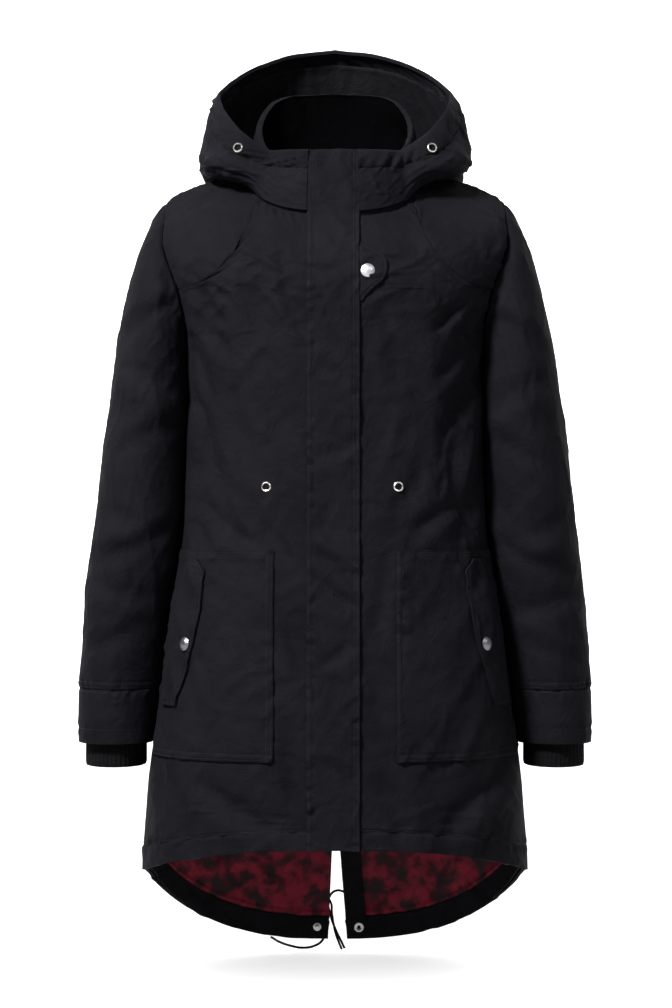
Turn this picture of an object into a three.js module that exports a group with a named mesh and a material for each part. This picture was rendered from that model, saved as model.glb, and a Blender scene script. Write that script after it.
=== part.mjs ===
import * as THREE from "three";

// Millimetres, +Z up. The front of the coat faces -Y and its left sleeve is on +X.
const BODY_WALL = 5;
const SLEEVE_WALL = 5;
const COLLAR_WALL = 6;
const HOOD_WALL = 4;
const LINING_WALL = 1.5;
const PATCH_WALL = 3;
const SEAM = 0.3;
const HEM_SIDE_Z = -838;
const HEM_FRONT_RISE = 43;
const HEM_BACK_DROP = 105;
const HEM_ZONE_TOP = -740;
const NECK_LEVEL = 60;
const ARMPIT_LEVEL = -205;
const TIP_LEVEL = -40;
const ARMHOLE_STEPS = 12;
const ARMHOLE_SPREAD_FRONT = 22;
const ARMHOLE_SPREAD_BACK = 20;
const YOKE_START = 5;
const YOKE_STEPS = 6;
const CUFF_SEAM_Z = -620;
const SLEEVE_HEM_Z = -684;
const RIBS = 30;
const RIB_DEPTH = 1.2;
const PLACKET_LEFT = -32.6;
const PLACKET_RIGHT = 28;
const SNAP_RADIUS = 8;
const WAIST_EYELET_X = { right: 79.4, left: 72.6 };
const CORD_DIAMETER = 3;

const BODY = readTable(["level", "zSide", "zFront", "zBack", "half", "front", "back"], [
  [-960, -960, -960, -960, 230, 160, 121],
  [-838, -838, -838, -838, 230, 160, 121],
  [-756, -756, -756, -756, 225, 158, 120],
  [-722, -722, -722, -722, 222, 157, 119],
  [-636, -636, -636, -636, 210, 152, 116],
  [-540, -540, -540, -540, 198, 143, 112],
  [-468, -468, -468, -468, 186, 136, 109],
  [-420, -420, -420, -420, 180, 131, 108],
  [-348, -348, -348, -348, 178, 128, 108],
  [-276, -276, -276, -276, 176, 126, 110],
  [-205, -205, -205, -205, 178, 128, 113],
  [-150, -150, -160, -150, 194, 128, 114],
  [-110, -110, -143, -112, 206, 126, 113],
  [-75, -75, -128, -84, 212, 123, 112],
  [-40, -40, -115, -62, 203, 119, 109],
  [0, -19, -98, -38, 166, 111, 102],
  [30, -8, -82, -15, 132, 102, 92],
  [60, 0, -66, 8, 100, 93, 80],
]);
const YOKE_SEAM = readTable(["level", "theta"], [
  [-144, 68.75], [-137, 56], [-128, 48], [-111.5, 40.7], [-81, 33.2], [-38.5, 29.8], [2.2, 35.4], [30.8, 44.1],
  [45.8, 52], [60, 57],
]);
const SLEEVE = readTable(["at", "outerX", "outerZ", "innerZ", "front", "back"], [
  [0, 203, -40, -205, 58, 52],
  [1, 214, -52, -214, 62, 56],
  [2, 224, -70, -226, 67, 61],
  [3, 235, -98, -242, 71, 66],
  [4, 245, -134, -260, 75, 70],
  [5, 254, -180, -283, 77, 73],
  [6, 264, -232, -312, 78, 74],
  [7, 272, -290, -345, 77, 73],
  [8, 280, -348, -382, 75, 71],
  [9, 287, -406, -424, 73, 69],
  [10, 294, -462, -470, 71, 67],
  [11, 299, -515, -518, 68, 65],
  [12, 303, -568, -569, 65, 62],
  [13, 307, -620, -620, 62, 60],
  [14, 307, -684, -684, 61, 59],
]);
const COLLAR_TOP = readTable(["theta", "z"], [
  [0, 12.5], [48, 14], [60, 22], [75, 37], [90, 52], [115, 78], [130, 91], [150, 100], [180, 104],
]);
const HOOD = readTable(["turn", "lowR", "lowZ", "bulgeR", "bulgeZ", "seamR", "seamZ", "rimR", "rimZ"], [
  [46, 108, -30, 110, -22, 108, -8, 106, 15],
  [60, 128, -14, 137, -5, 131, 9, 122, 34],
  [75, 147, -14, 157, 0, 142, 28, 129, 57],
  [90, 155, -8, 163, 8, 149, 56, 137, 80],
  [110, 160, -15, 172, 20, 158, 84, 146, 106],
  [135, 166, -35, 185, 30, 158, 122, 141, 141],
  [160, 166, -48, 191, 40, 158, 148, 138, 163],
  [180, 164, -55, 192, 40, 160, 155, 140, 170],
]);
const HOOD_TURNS = [32, 40, 47, 54, 61, 69, 78, 88, 99, 112, 128, 145, 162, 180];
const HOOD_RISES = [0, 0.12, 0.3, 0.45, 0.58, 0.72, 0.86, 1];
const SLIT = readTable(["z", "right", "left"], [[-960, 9.4, 16], [-943, 8.7, 15], [-834, 3.8, 6.4], [-735, 0.2, 0.2]]);
const FLAP = readTable(["z", "free", "hinge"], [
  [-636, 57, 68], [-605, 53, 67.5], [-570, 49.5, 66.5], [-505, 47.6, 64], [-482, 48, 63], [-466, 54, 62],
]);
const TAB = readTable(["level", "reach"], [
  [-161, 31.5], [-136, 43], [-112, 54.5], [-82, 60], [-56, 59], [-35, 52], [-19, 38], [-3, 31.5],
]);
const COLUMNS = [0, 8, 20, 33, 46, 58, 70, 81, 90];
const BODY_ROWS = [
  -740, -696, -650, -605, -555, -505, -455, -427, -400, -375, -350, -325, -300, -275, -250, -205,
];
const SLEEVE_STATIONS = [1, 2, 3, 4, 5, 5.5, 6, 6.5, 7, 7.5, 8, 8.5, 9, 9.5, 10, 10.5, 11, 12, 13];

// The largest folds of the body, each a trough with a ridge beside it: x and z are its two ends on the panel.
const BODY_FOLDS = readTable(["face", "side", "x0", "z0", "x1", "z1", "depth", "width"], [
  ["front", -1, 168, -232, 124, -410, 6, 17],
  ["front", -1, 176, -330, 150, -450, 4, 14],
  ["front", 1, 172, -222, 130, -388, 6.5, 17],
  ["front", 1, 176, -300, 142, -446, 4.5, 14],
  ["back", -1, 162, -222, 84, -360, 6, 19],
  ["back", -1, 150, -410, 40, -462, 5, 18],
  ["back", -1, 164, -500, 60, -566, 4.5, 20],
  ["back", 1, 166, -232, 92, -384, 6, 19],
  ["back", 1, 146, -424, 34, -480, 5, 18],
  ["back", 1, 160, -520, 54, -590, 4.5, 20],
]);

// The largest folds of a sleeve, between turns round it in degrees: 90 is its front and 270 its back.
const SLEEVE_FOLDS = readTable(["x0", "z0", "x1", "z1", "depth", "width"], [
  [165, -232, 40, -285, 5.5, 18], [150, -388, 45, -428, 5.5, 17], [35, -445, 165, -492, 5, 17],
  [330, -205, 235, -262, 5, 19], [338, -395, 228, -446, 5.5, 18], [240, -480, 335, -520, 4, 17],
]);

const CORD_RIGHT = [
  [-80, 115, -940.2], [-70, 117, -946.5], [-54, 120, -952.5], [-39, 122, -955], [-26, 124, -953],
  [-17, 124.6, -947.5], [-12.5, 124.2, -938], [-14, 124.4, -925], [-17, 125.4, -912], [-17.5, 126.6, -901],
  [-12, 127.4, -893], [-5.5, 127.2, -899], [-4, 126.2, -912], [-2, 125, -925], [1, 124, -938], [5, 123, -949],
  [8.5, 122.5, -957],
];
const CORD_LEFT = [
  [40, 122.3, -930], [35, 122.5, -917], [27, 122.6, -902], [18, 122.8, -890], [9, 123, -884.5], [1, 123.2, -884],
  [-5.5, 123.3, -889], [-8.4, 123.2, -899], [-6.6, 122.4, -911], [-3, 121.4, -923], [2, 120.2, -935],
  [7.5, 119.2, -946], [12, 118.5, -955],
];

const CLOTH = { color: 0x17161a, roughness: 0.85, metalness: 0 };
const LINING = { color: 0x2a1115, roughness: 0.8, metalness: 0 };
const KNIT = { color: 0x141416, roughness: 0.95, metalness: 0 };
const BRIGHT_METAL = { color: 0xc9c9cc, roughness: 0.25, metalness: 1 };
const DARK_METAL = { color: 0x55555a, roughness: 0.35, metalness: 1 };
const CORD = { color: 0x121214, roughness: 0.9, metalness: 0 };

const coat = new THREE.Group();

function readTable(names, rows) {
  return rows.map((row) => Object.fromEntries(names.map((name, k) => [name, row[k]])));
}

function mix(a, b, share) {
  return a + (b - a) * share;
}

function smooth(low, high, at) {
  const share = Math.min(Math.max((at - low) / (high - low), 0), 1);
  return share * share * (3 - 2 * share);
}

// A smooth curve through the rows of a table that never overshoots between them.
function makeCurve(table, from, to) {
  const xs = table.map((row) => row[from]);
  const ys = table.map((row) => row[to]);
  const last = xs.length - 1;
  const widths = xs.slice(1).map((x, k) => x - xs[k]);
  const slopes = widths.map((width, k) => (ys[k + 1] - ys[k]) / width);
  const tangents = slopes.slice(1).map((slope, k) => {
    const before = 2 * widths[k + 1] + widths[k];
    const after = widths[k + 1] + 2 * widths[k];
    return slope * slopes[k] <= 0 ? 0 : (before + after) / (before / slopes[k] + after / slope);
  });
  tangents.unshift(slopes[0]);
  tangents.push(slopes[last - 1]);
  return (x) => {
    const held = Math.min(Math.max(x, xs[0]), xs[last]);
    const k = Math.min(xs.findLastIndex((start) => start <= held), last - 1);
    const u = (held - xs[k]) / widths[k];
    const start = (1 + 2 * u) * (1 - u) ** 2 * ys[k] + u * (1 - u) ** 2 * widths[k] * tangents[k];
    return start + u * u * (3 - 2 * u) * ys[k + 1] + u * u * (u - 1) * widths[k] * tangents[k + 1];
  };
}

// How far one fold lifts the cloth at x, z: a trough along its line and a lower ridge on one side of it.
function foldAt(x, z, fold) {
  const length = Math.hypot(fold.x1 - fold.x0, fold.z1 - fold.z0);
  const [wayX, wayZ] = [(fold.x1 - fold.x0) / length, (fold.z1 - fold.z0) / length];
  const along = ((x - fold.x0) * wayX + (z - fold.z0) * wayZ) / length;
  const across = (z - fold.z0) * wayX - (x - fold.x0) * wayZ;
  const fade = smooth(-0.12, 0.3, along) * (1 - smooth(0.7, 1.12, along));
  const trough = Math.exp(-((across / fold.width) ** 2));
  const ridge = Math.exp(-(((across - 1.9 * fold.width) / (1.1 * fold.width)) ** 2));
  return fold.depth * fade * (0.6 * ridge - trough);
}

function curvesOf(table, from, names) {
  return Object.fromEntries(names.map((name) => [name, makeCurve(table, from, name)]));
}

const body = curvesOf(BODY, "level", ["zSide", "zFront", "zBack", "half", "front", "back"]);
const sleeve = curvesOf(SLEEVE, "at", ["outerX", "outerZ", "innerZ", "front", "back"]);
const hood = curvesOf(HOOD, "turn", ["lowR", "lowZ", "bulgeR", "bulgeZ", "seamR", "seamZ", "rimR", "rimZ"]);
const collarTop = makeCurve(COLLAR_TOP, "theta", "z");
const yokeTheta = makeCurve(YOKE_SEAM, "level", "theta");

function bodyPoint(theta, level) {
  const s = Math.sin(THREE.MathUtils.degToRad(theta));
  const c = Math.cos(THREE.MathUtils.degToRad(theta));
  const depth = c >= 0 ? body.front(level) : body.back(level);
  const turned = c >= 0 ? body.zFront(level) : body.zBack(level);
  const side = body.zSide(level);
  return new THREE.Vector3(
    body.half(level) * Math.sign(s) * Math.abs(s) ** 0.8,
    -depth * Math.sign(c) * Math.abs(c) ** 0.8,
    mix(side, turned, Math.abs(c) ** 0.75),
  );
}

function normalOf(surface, u, v, du, dv) {
  const along = surface(u + du, v).sub(surface(u - du, v));
  const up = surface(u, v + dv).sub(surface(u, v - dv));
  return along.cross(up).normalize();
}

function bodyNormal(theta, level) {
  return normalOf(bodyPoint, theta, Math.min(level, NECK_LEVEL - 1), 1, 1);
}

// The body's folds at a place, gone at its seams and where pockets, eyelets and the placket lie.
function bodyFolds(theta, level, side) {
  const face = theta <= 90 ? "front" : "back";
  const point = bodyPoint(theta, level);
  const sum = BODY_FOLDS.filter((fold) => fold.face === face && fold.side === side)
    .reduce((total, fold) => total + foldAt(point.x, point.z, fold), 0);
  const seam = 1 - Math.exp(-(((theta - 90) / 7) ** 2));
  const low = face === "front" ? smooth(-455, -427, level) * smooth(28, 46, theta) : smooth(-690, -640, level);
  const calm = seam * low * (1 - smooth(-245, -205, level)) * (1 - smooth(160, 176, theta));
  const besideSleeve = 1 - 0.8 * Math.exp(-(((theta - 90) / 20) ** 2));
  return sum * calm * (sum > 0 ? besideSleeve : 1);
}

function hemLine(theta) {
  const c = Math.cos(THREE.MathUtils.degToRad(theta));
  if (c >= 0) return HEM_SIDE_Z + HEM_FRONT_RISE * c ** 1.3;
  return HEM_SIDE_Z - HEM_BACK_DROP * (-c) ** 1.35;
}

function bandLine(theta) {
  const c = Math.cos(THREE.MathUtils.degToRad(theta));
  return hemLine(theta) + (c >= 0 ? mix(29, 21, c) : mix(29, 24, -c));
}

// One side of the armhole, from the armpit (0) up to the shoulder tip (ARMHOLE_STEPS).
function armhole(step, spread) {
  const turn = (step / ARMHOLE_STEPS) * Math.PI;
  return {
    theta: 90 - spread * Math.sin(turn),
    level: (ARMPIT_LEVEL + TIP_LEVEL) / 2 - ((TIP_LEVEL - ARMPIT_LEVEL) / 2) * Math.cos(turn),
  };
}

function signedVolume(position, index) {
  const [a, b, c] = [new THREE.Vector3(), new THREE.Vector3(), new THREE.Vector3()];
  let sum = 0;
  for (let k = 0; k < index.length; k += 3) {
    a.fromArray(position, index[k] * 3);
    b.fromArray(position, index[k + 1] * 3);
    c.fromArray(position, index[k + 2] * 3);
    sum += a.dot(b.cross(c));
  }
  return sum;
}

// A closed wall between two grids of points, open at the sides or joined into a tube.
function wallBetween(outer, inner, joined) {
  const rows = outer.length;
  const columns = outer[0].length;
  const position = [...outer.flat(), ...inner.flat()].flatMap((p) => [p.x, p.y, p.z]);
  const at = (skin, j, i) => skin * rows * columns + j * columns + (i % columns);
  const index = [];
  const quad = (a, b, c, d) => index.push(a, b, c, a, c, d);
  const spans = joined ? columns : columns - 1;
  for (let i = 0; i < spans; i++) {
    for (let j = 0; j < rows - 1; j++) {
      quad(at(0, j, i), at(0, j, i + 1), at(0, j + 1, i + 1), at(0, j + 1, i));
      quad(at(1, j, i), at(1, j + 1, i), at(1, j + 1, i + 1), at(1, j, i + 1));
    }
    quad(at(0, 0, i), at(1, 0, i), at(1, 0, i + 1), at(0, 0, i + 1));
    quad(at(0, rows - 1, i), at(0, rows - 1, i + 1), at(1, rows - 1, i + 1), at(1, rows - 1, i));
  }
  for (let j = 0; j < rows - 1 && !joined; j++) {
    quad(at(0, j, 0), at(0, j + 1, 0), at(1, j + 1, 0), at(1, j, 0));
    const e = columns - 1;
    quad(at(0, j, e), at(1, j, e), at(1, j + 1, e), at(0, j + 1, e));
  }
  if (signedVolume(position, index) < 0) index.reverse();
  const geometry = new THREE.BufferGeometry();
  geometry.setAttribute("position", new THREE.Float32BufferAttribute(position, 3));
  geometry.setIndex(index);
  geometry.computeVertexNormals();
  return geometry;
}

function add(name, geometry, finish) {
  const mesh = new THREE.Mesh(geometry, new THREE.MeshStandardMaterial(finish));
  mesh.name = name;
  coat.add(mesh);
}

function draw(points, amount) {
  const first = points[0].clone().lerp(points[1], Math.min(amount / points[0].distanceTo(points[1]), 0.4));
  const last = points.length - 1;
  const gap = Math.min(amount / points[last].distanceTo(points[last - 1]), 0.4);
  const end = points[last].clone().lerp(points[last - 1], gap);
  return [first, ...points.slice(1, last), end];
}

// Pulls the sides of a grid in by half a seam, so that its neighbour keeps clear.
function drawIn(grid, sides, ends) {
  const drawn = sides ? grid.map((row) => draw(row, SEAM / 2)) : grid;
  if (!ends) return drawn;
  const columns = drawn[0].map((_, i) => draw(drawn.map((row) => row[i]), SEAM / 2));
  return drawn.map((row, j) => row.map((_, i) => columns[i][j]));
}

function flip(grid, side) {
  return grid.map((row) => row.map((p) => new THREE.Vector3(p.x * side, p.y, p.z)));
}

// A sheet on the body: places are rows of {theta, level}, high and low its skins above the cloth.
function bodySheet(places, high, low, side) {
  const lift = (amount) => places.map((row) => row.map((place) => {
    const normal = bodyNormal(place.theta, place.level);
    const lifted = amount + bodyFolds(place.theta, place.level, side);
    return bodyPoint(place.theta, place.level).addScaledVector(normal, lifted);
  }));
  const outer = flip(drawIn(lift(high), true, true), side);
  const inner = flip(drawIn(lift(low), true, true), side);
  return wallBetween(outer, inner, false);
}

function slitTurn(z, sideName) {
  const reach = makeCurve(SLIT, "z", sideName)(z) / body.half(z);
  return THREE.MathUtils.radToDeg(Math.asin(reach ** 1.25));
}

function levelRow(level, end) {
  return COLUMNS.map((column) => ({ theta: (column / 90) * end, level }));
}

function backRow(level, end, sideName) {
  return COLUMNS.map((column) => {
    const share = column / 90;
    const z = typeof level === "number" ? level : level(180 - share * 90);
    const start = slitTurn(z, sideName);
    return { theta: 180 - mix(start, 180 - end, share), level: z };
  });
}

function zoneRow(top, bottom, share) {
  return (theta) => mix(top(theta), bottom(theta), share);
}

function frontPlaces() {
  const rows = [1, 0.5].map((share) => {
    const level = zoneRow(() => HEM_ZONE_TOP, bandLine, share);
    return COLUMNS.map((theta) => ({ theta, level: level(theta) }));
  });
  BODY_ROWS.forEach((level) => rows.push(levelRow(level, 90)));
  for (let k = 1; k <= YOKE_START; k++) {
    const edge = armhole(k, ARMHOLE_SPREAD_FRONT);
    rows.push(levelRow(edge.level, edge.theta));
  }
  for (let k = 1; k <= YOKE_STEPS; k++) {
    const edge = yokeSeam(k);
    rows.push(levelRow(edge.level, edge.theta));
  }
  return rows;
}

function yokeSeam(step) {
  const low = armhole(YOKE_START, ARMHOLE_SPREAD_FRONT);
  const level = mix(low.level, NECK_LEVEL, step / YOKE_STEPS);
  return { theta: step === 0 ? low.theta : yokeTheta(level), level };
}

function yokePlaces() {
  const arc = [];
  for (let k = YOKE_START; k <= ARMHOLE_STEPS; k++) arc.push(armhole(k, ARMHOLE_SPREAD_FRONT));
  const spans = arc.length - 1;
  const neck = yokeSeam(YOKE_STEPS);
  const rows = [];
  for (let j = 0; j <= YOKE_STEPS; j++) {
    const share = j / YOKE_STEPS;
    const low = yokeSeam(j);
    const high = { theta: 90, level: mix(TIP_LEVEL, NECK_LEVEL, share) };
    rows.push(arc.map((point, i) => {
      const u = i / spans;
      const blend = (key) => {
        const across = mix(low[key], high[key], u);
        const along = mix(point[key], mix(neck[key], key === "theta" ? 90 : NECK_LEVEL, u), share);
        const corners = mix(mix(arc[0][key], arc[spans][key], u), mix(neck[key], high_neck(key), u), share);
        return across + along - corners;
      };
      return { theta: blend("theta"), level: blend("level") };
    }));
  }
  return rows;
}

function high_neck(key) {
  return key === "theta" ? 90 : NECK_LEVEL;
}

function backPlaces(sideName) {
  const rows = [1, 0.5].map((share) => backRow(zoneRow(() => HEM_ZONE_TOP, bandLine, share), 90, sideName));
  BODY_ROWS.forEach((level) => rows.push(backRow(level, 90, sideName)));
  for (let k = 1; k <= ARMHOLE_STEPS; k++) {
    const edge = armhole(k, -ARMHOLE_SPREAD_BACK);
    rows.push(backRow(edge.level, edge.theta, sideName));
  }
  for (let k = 1; k <= YOKE_STEPS; k++) {
    rows.push(backRow(mix(TIP_LEVEL, NECK_LEVEL, k / YOKE_STEPS), 90, sideName));
  }
  return rows;
}

function bandPlaces(row) {
  return [1, 0].map((share) => row(zoneRow(bandLine, hemLine, share)));
}

function addBody(side, sideName) {
  add(`front_${sideName}`, bodySheet(frontPlaces(), 0, -BODY_WALL, side), CLOTH);
  add(`yoke_${sideName}`, bodySheet(yokePlaces(), 0, -BODY_WALL, side), CLOTH);
  add(`back_${sideName}`, bodySheet(backPlaces(sideName), 0, -BODY_WALL, side), CLOTH);
  const frontBand = bandPlaces((level) => COLUMNS.map((theta) => ({ theta, level: level(theta) })));
  add(`hem_band_front_${sideName}`, bodySheet(frontBand, 0, -BODY_WALL, side), CLOTH);
  const backBand = bandPlaces((level) => backRow(level, 90, sideName));
  add(`hem_band_back_${sideName}`, bodySheet(backBand, 0, -BODY_WALL, side), CLOTH);
}

function addInside(side, sideName) {
  const under = -BODY_WALL - SEAM;
  const lining = [1, 0.5].map((share) => backRow(zoneRow(() => HEM_ZONE_TOP, bandLine, share), 90, sideName));
  lining.push(backRow(-740, 90, sideName), backRow(-696, 90, sideName));
  add(`back_lining_${sideName}`, bodySheet(lining, under, under - LINING_WALL, side), LINING);
  const facing = bandPlaces((level) => backRow(level, 90, sideName));
  add(`back_facing_${sideName}`, bodySheet(facing, under, under - LINING_WALL, side), CLOTH);
}

function addVentFacing() {
  const under = -BODY_WALL - LINING_WALL - 3 * SEAM;
  const rows = [-932, -905, -875, -845, -815, -780, -745].map((z) => [0.8, 13, 26].map((reach) => {
    const edge = makeCurve(SLIT, "z", "left")(z);
    const share = ((edge + reach) / body.half(z)) ** 1.25;
    return { theta: 180 - THREE.MathUtils.radToDeg(Math.asin(share)), level: z };
  }));
  add("vent_facing", bodySheet(rows, under, under - LINING_WALL, 1), CLOTH);
}

// The armhole as places around it: up its front from the armpit, then down its back.
function armholeLoop() {
  const loop = [];
  for (let k = 0; k <= ARMHOLE_STEPS; k++) loop.push(armhole(k, ARMHOLE_SPREAD_FRONT));
  for (let k = ARMHOLE_STEPS - 1; k > 0; k--) loop.push(armhole(k, -ARMHOLE_SPREAD_BACK));
  return loop;
}

function sleeveRing(at, steps) {
  const outer = new THREE.Vector3(sleeve.outerX(at), 0, sleeve.outerZ(at));
  const innerZ = sleeve.innerZ(at);
  const clear = at === 0 ? 0 : 3;
  const inner = new THREE.Vector3(body.half(innerZ) + clear, 0, innerZ);
  const centre = outer.clone().add(inner).multiplyScalar(0.5);
  const reach = outer.clone().sub(inner).multiplyScalar(0.5);
  const ring = [];
  for (let i = 0; i < steps; i++) {
    const turn = (i / steps) * 2 * Math.PI;
    const depth = Math.sin(turn) >= 0 ? sleeve.front(at) : sleeve.back(at);
    const point = centre.clone().addScaledVector(reach, -Math.cos(turn));
    point.y -= depth * Math.sign(Math.sin(turn)) * Math.abs(Math.sin(turn)) ** 0.9;
    ring.push(point);
  }
  return ring;
}

function ringNormals(rings, j) {
  const steps = rings[j].length;
  const before = rings[Math.max(j - 1, 0)];
  const after = rings[Math.min(j + 1, rings.length - 1)];
  const centre = rings[j].reduce((sum, p) => sum.add(p), new THREE.Vector3()).divideScalar(steps);
  return rings[j].map((point, i) => {
    const around = rings[j][(i + 1) % steps].clone().sub(rings[j][(i + steps - 1) % steps]);
    const normal = around.cross(after[i].clone().sub(before[i])).normalize();
    return normal.dot(point.clone().sub(centre)) < 0 ? normal.negate() : normal;
  });
}

// The end of a tube that is sewn into a hole of the body: it meets the hole's edge face.
function sewnEnd(places, rings, normals, thickness) {
  const edge = places.map((place) => bodyPoint(place.theta, place.level));
  const out = places.map((place) => bodyNormal(place.theta, place.level));
  const steps = edge.length;
  const centre = edge.reduce((sum, p) => sum.add(p), new THREE.Vector3()).divideScalar(steps);
  const inward = edge.map((point, i) => {
    const around = edge[(i + 1) % steps].clone().sub(edge[(i + steps - 1) % steps]);
    const t = around.cross(out[i]).normalize();
    return t.dot(centre.clone().sub(point)) < 0 ? t.negate() : t;
  });
  const start = edge.map((point, i) => point.clone().addScaledVector(inward[i], SEAM));
  const turned = start.map((point, i) => point.clone().addScaledVector(out[i], 0.6));
  const bent = turned.map((point, i) => {
    const way = out[i].clone().add(normals[i]).negate().addScaledVector(inward[i], 0.8).normalize();
    return point.clone().addScaledVector(way, thickness);
  });
  const back = start.map((point, i) => point.clone().addScaledVector(out[i], -thickness));
  return { outer: [start, turned], inner: [back, bent] };
}

function sleeveRings() {
  const places = armholeLoop();
  const steps = places.length;
  const first = sleeveRing(0, steps);
  const shift = places.map((place, i) => bodyPoint(place.theta, place.level).sub(first[i]));
  const rings = SLEEVE_STATIONS.map((at) => {
    const fade = Math.max(1 - at / 5, 0) ** 1.5;
    return sleeveRing(at, steps).map((point, i) => point.addScaledVector(shift[i], fade));
  });
  return rings.map((ring, j) => {
    const normals = ringNormals(rings, j);
    const calm = smooth(2, 4, SLEEVE_STATIONS[j]) * (1 - smooth(11, 13, SLEEVE_STATIONS[j]));
    return ring.map((point, i) => {
      const turn = (i / steps) * 360;
      const sum = SLEEVE_FOLDS.reduce((total, fold) => total + foldAt(turn, point.z, fold), 0);
      const besideBody = 1 - Math.exp(-((Math.min(turn, 360 - turn) / 50) ** 2));
      return point.clone().addScaledVector(normals[i], sum * calm * (sum > 0 ? besideBody : 1));
    });
  });
}

function offsetRings(rings, amount) {
  return rings.map((ring, j) => {
    const normals = ringNormals(rings, j);
    return ring.map((point, i) => point.clone().addScaledVector(normals[i], amount));
  });
}

function addSleeve(side, sideName) {
  const rings = sleeveRings();
  const end = sewnEnd(armholeLoop(), rings, ringNormals(rings, 0), SLEEVE_WALL);
  const outer = [...end.outer, ...rings];
  const inner = [...end.inner, ...offsetRings(rings, -SLEEVE_WALL)];
  inner[inner.length - 1].forEach((point) => {
    point.z = CUFF_SEAM_Z;
  });
  add(`sleeve_${sideName}`, wallBetween(flip(outer, side), flip(inner, side), true), CLOTH);
  const band = [13, 13.5, 14].map((at) => sleeveRing(at, rings[0].length));
  band[0].forEach((point) => {
    point.z = CUFF_SEAM_Z - SEAM;
  });
  const bandInner = offsetRings(band, -SLEEVE_WALL);
  bandInner.forEach((ring, j) => ring.forEach((point, i) => {
    point.z = band[j][i].z;
  }));
  add(`cuff_band_${sideName}`, wallBetween(flip(band, side), flip(bandInner, side), true), CLOTH);
}

function knitRing(z, lift, ribbed) {
  const ring = [];
  for (let i = 0; i < RIBS * 2; i++) {
    const turn = (i / (RIBS * 2)) * 2 * Math.PI;
    const rib = ribbed && i % 2 === 0 ? RIB_DEPTH : 0;
    const x = 262 - (35 + lift + rib) * Math.cos(turn);
    ring.push(new THREE.Vector3(x, -(50 + lift + rib) * Math.sin(turn), z));
  }
  return ring;
}

function addKnitCuff(side, sideName) {
  const outer = [-664, -712].map((z) => knitRing(z, 0, true));
  const inner = [-664, -712].map((z) => knitRing(z, -2, false));
  add(`knit_cuff_${sideName}`, wallBetween(flip(outer, side), flip(inner, side), true), KNIT);
}

function neckPlaces() {
  const yoke = yokePlaces()[YOKE_STEPS].map((place) => place.theta);
  const front = COLUMNS.map((column) => (column / 90) * yoke[0]);
  const back = COLUMNS.map((column) => 180 - column).reverse();
  const half = [...front, ...yoke.slice(1), ...back.slice(1)];
  const other = half.slice(0, -1).reverse().map((theta) => 360 - theta);
  return [...half, ...other].map((theta) => ({ theta, level: NECK_LEVEL }));
}

function collarPoint(theta, rise) {
  const c = Math.cos(THREE.MathUtils.degToRad(theta));
  const s = Math.sin(THREE.MathUtils.degToRad(theta));
  const turn = theta <= 180 ? theta : 360 - theta;
  const top = new THREE.Vector3(
    94 * Math.sign(s) * Math.abs(s) ** 0.8,
    -(c >= 0 ? 78 : 80) * Math.sign(c) * Math.abs(c) ** 0.8,
    collarTop(Math.abs(turn)),
  );
  const base = bodyPoint(theta, NECK_LEVEL);
  const swell = 2 * Math.sin(Math.PI * rise);
  return base.lerp(top, rise).add(new THREE.Vector3(s * swell, -c * swell, 0));
}

function collarNormal(theta, rise) {
  return normalOf(collarPoint, theta, Math.min(Math.max(rise, 0.02), 0.98), 1, 0.02);
}

function collarOffset(theta, rise, amount) {
  return collarPoint(theta, rise).addScaledVector(collarNormal(theta, rise), amount);
}

function addCollar() {
  const places = neckPlaces();
  const rises = [0.1, 0.4, 0.7, 1];
  const outer = rises.map((rise) => places.map((place) => collarOffset(place.theta, rise, 0)));
  const inner = rises.map((rise) => places.map((place) => collarOffset(place.theta, rise, -COLLAR_WALL)));
  const normals = places.map((place) => collarNormal(place.theta, 0.1));
  const closed = places.slice(0, -1);
  const end = sewnEnd(closed, outer, normals, COLLAR_WALL);
  const rows = (skins) => skins.map((ring) => [...ring, ring[0].clone()]);
  const seamed = (grid) => drawIn(grid, true, false);
  const outerGrid = seamed([rows([end.outer[0]])[0], ...outer]);
  const innerGrid = seamed([rows([end.inner[0]])[0], ...inner]);
  add("collar", wallBetween(outerGrid, innerGrid, false), CLOTH);
}

function polar(radius, turn, z) {
  const angle = THREE.MathUtils.degToRad(turn);
  return new THREE.Vector3(radius * Math.sin(angle), -radius * Math.cos(angle), z);
}

// A point on the shell of the hood: rise runs from the neck (0) to the casing seam (1) and the rim (1.25).
function hoodPoint(turn, rise) {
  const height = rise <= 1 ? mix(0.06, 0.7, rise) : mix(0.7, 1, (rise - 1) * 4);
  const hug = collarOffset(turn, height, HOOD_WALL + 0.7);
  const loose = smooth(42, 66, turn);
  if (loose === 0) return hug;
  const base = collarOffset(turn, 0.06, HOOD_WALL + 0.7);
  const low = polar(hood.lowR(turn), turn, hood.lowZ(turn));
  const bulge = polar(hood.bulgeR(turn), turn, hood.bulgeZ(turn));
  const seam = polar(hood.seamR(turn), turn, hood.seamZ(turn));
  const rim = polar(hood.rimR(turn), turn, hood.rimZ(turn));
  const curve = new THREE.CatmullRomCurve3([base, low, bulge, seam], false, "centripetal");
  const free = rise <= 1 ? curve.getPoint(rise) : seam.clone().lerp(rim, (rise - 1) * 4);
  return hug.lerp(free, loose);
}

function hoodOffset(turn, rise, amount) {
  const at = Math.min(Math.max(rise, 0.03), 1.23);
  const normal = normalOf(hoodPoint, turn, at, 1, 0.03);
  if (turn === 180) normal.setX(0).normalize();
  return hoodPoint(turn, rise).addScaledVector(normal, amount);
}

function hoodGrid(turns, rises, amount) {
  return rises.map((rise) => turns.map((turn) => hoodOffset(turn, rise, amount)));
}

function mirrored(grid) {
  return grid.map((row) => {
    const other = row.slice(0, -1).map((p) => new THREE.Vector3(-p.x, p.y, p.z)).reverse();
    const middle = row[row.length - 1].clone().setX(0);
    return [...row.slice(0, -1), middle, ...other];
  });
}

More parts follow.
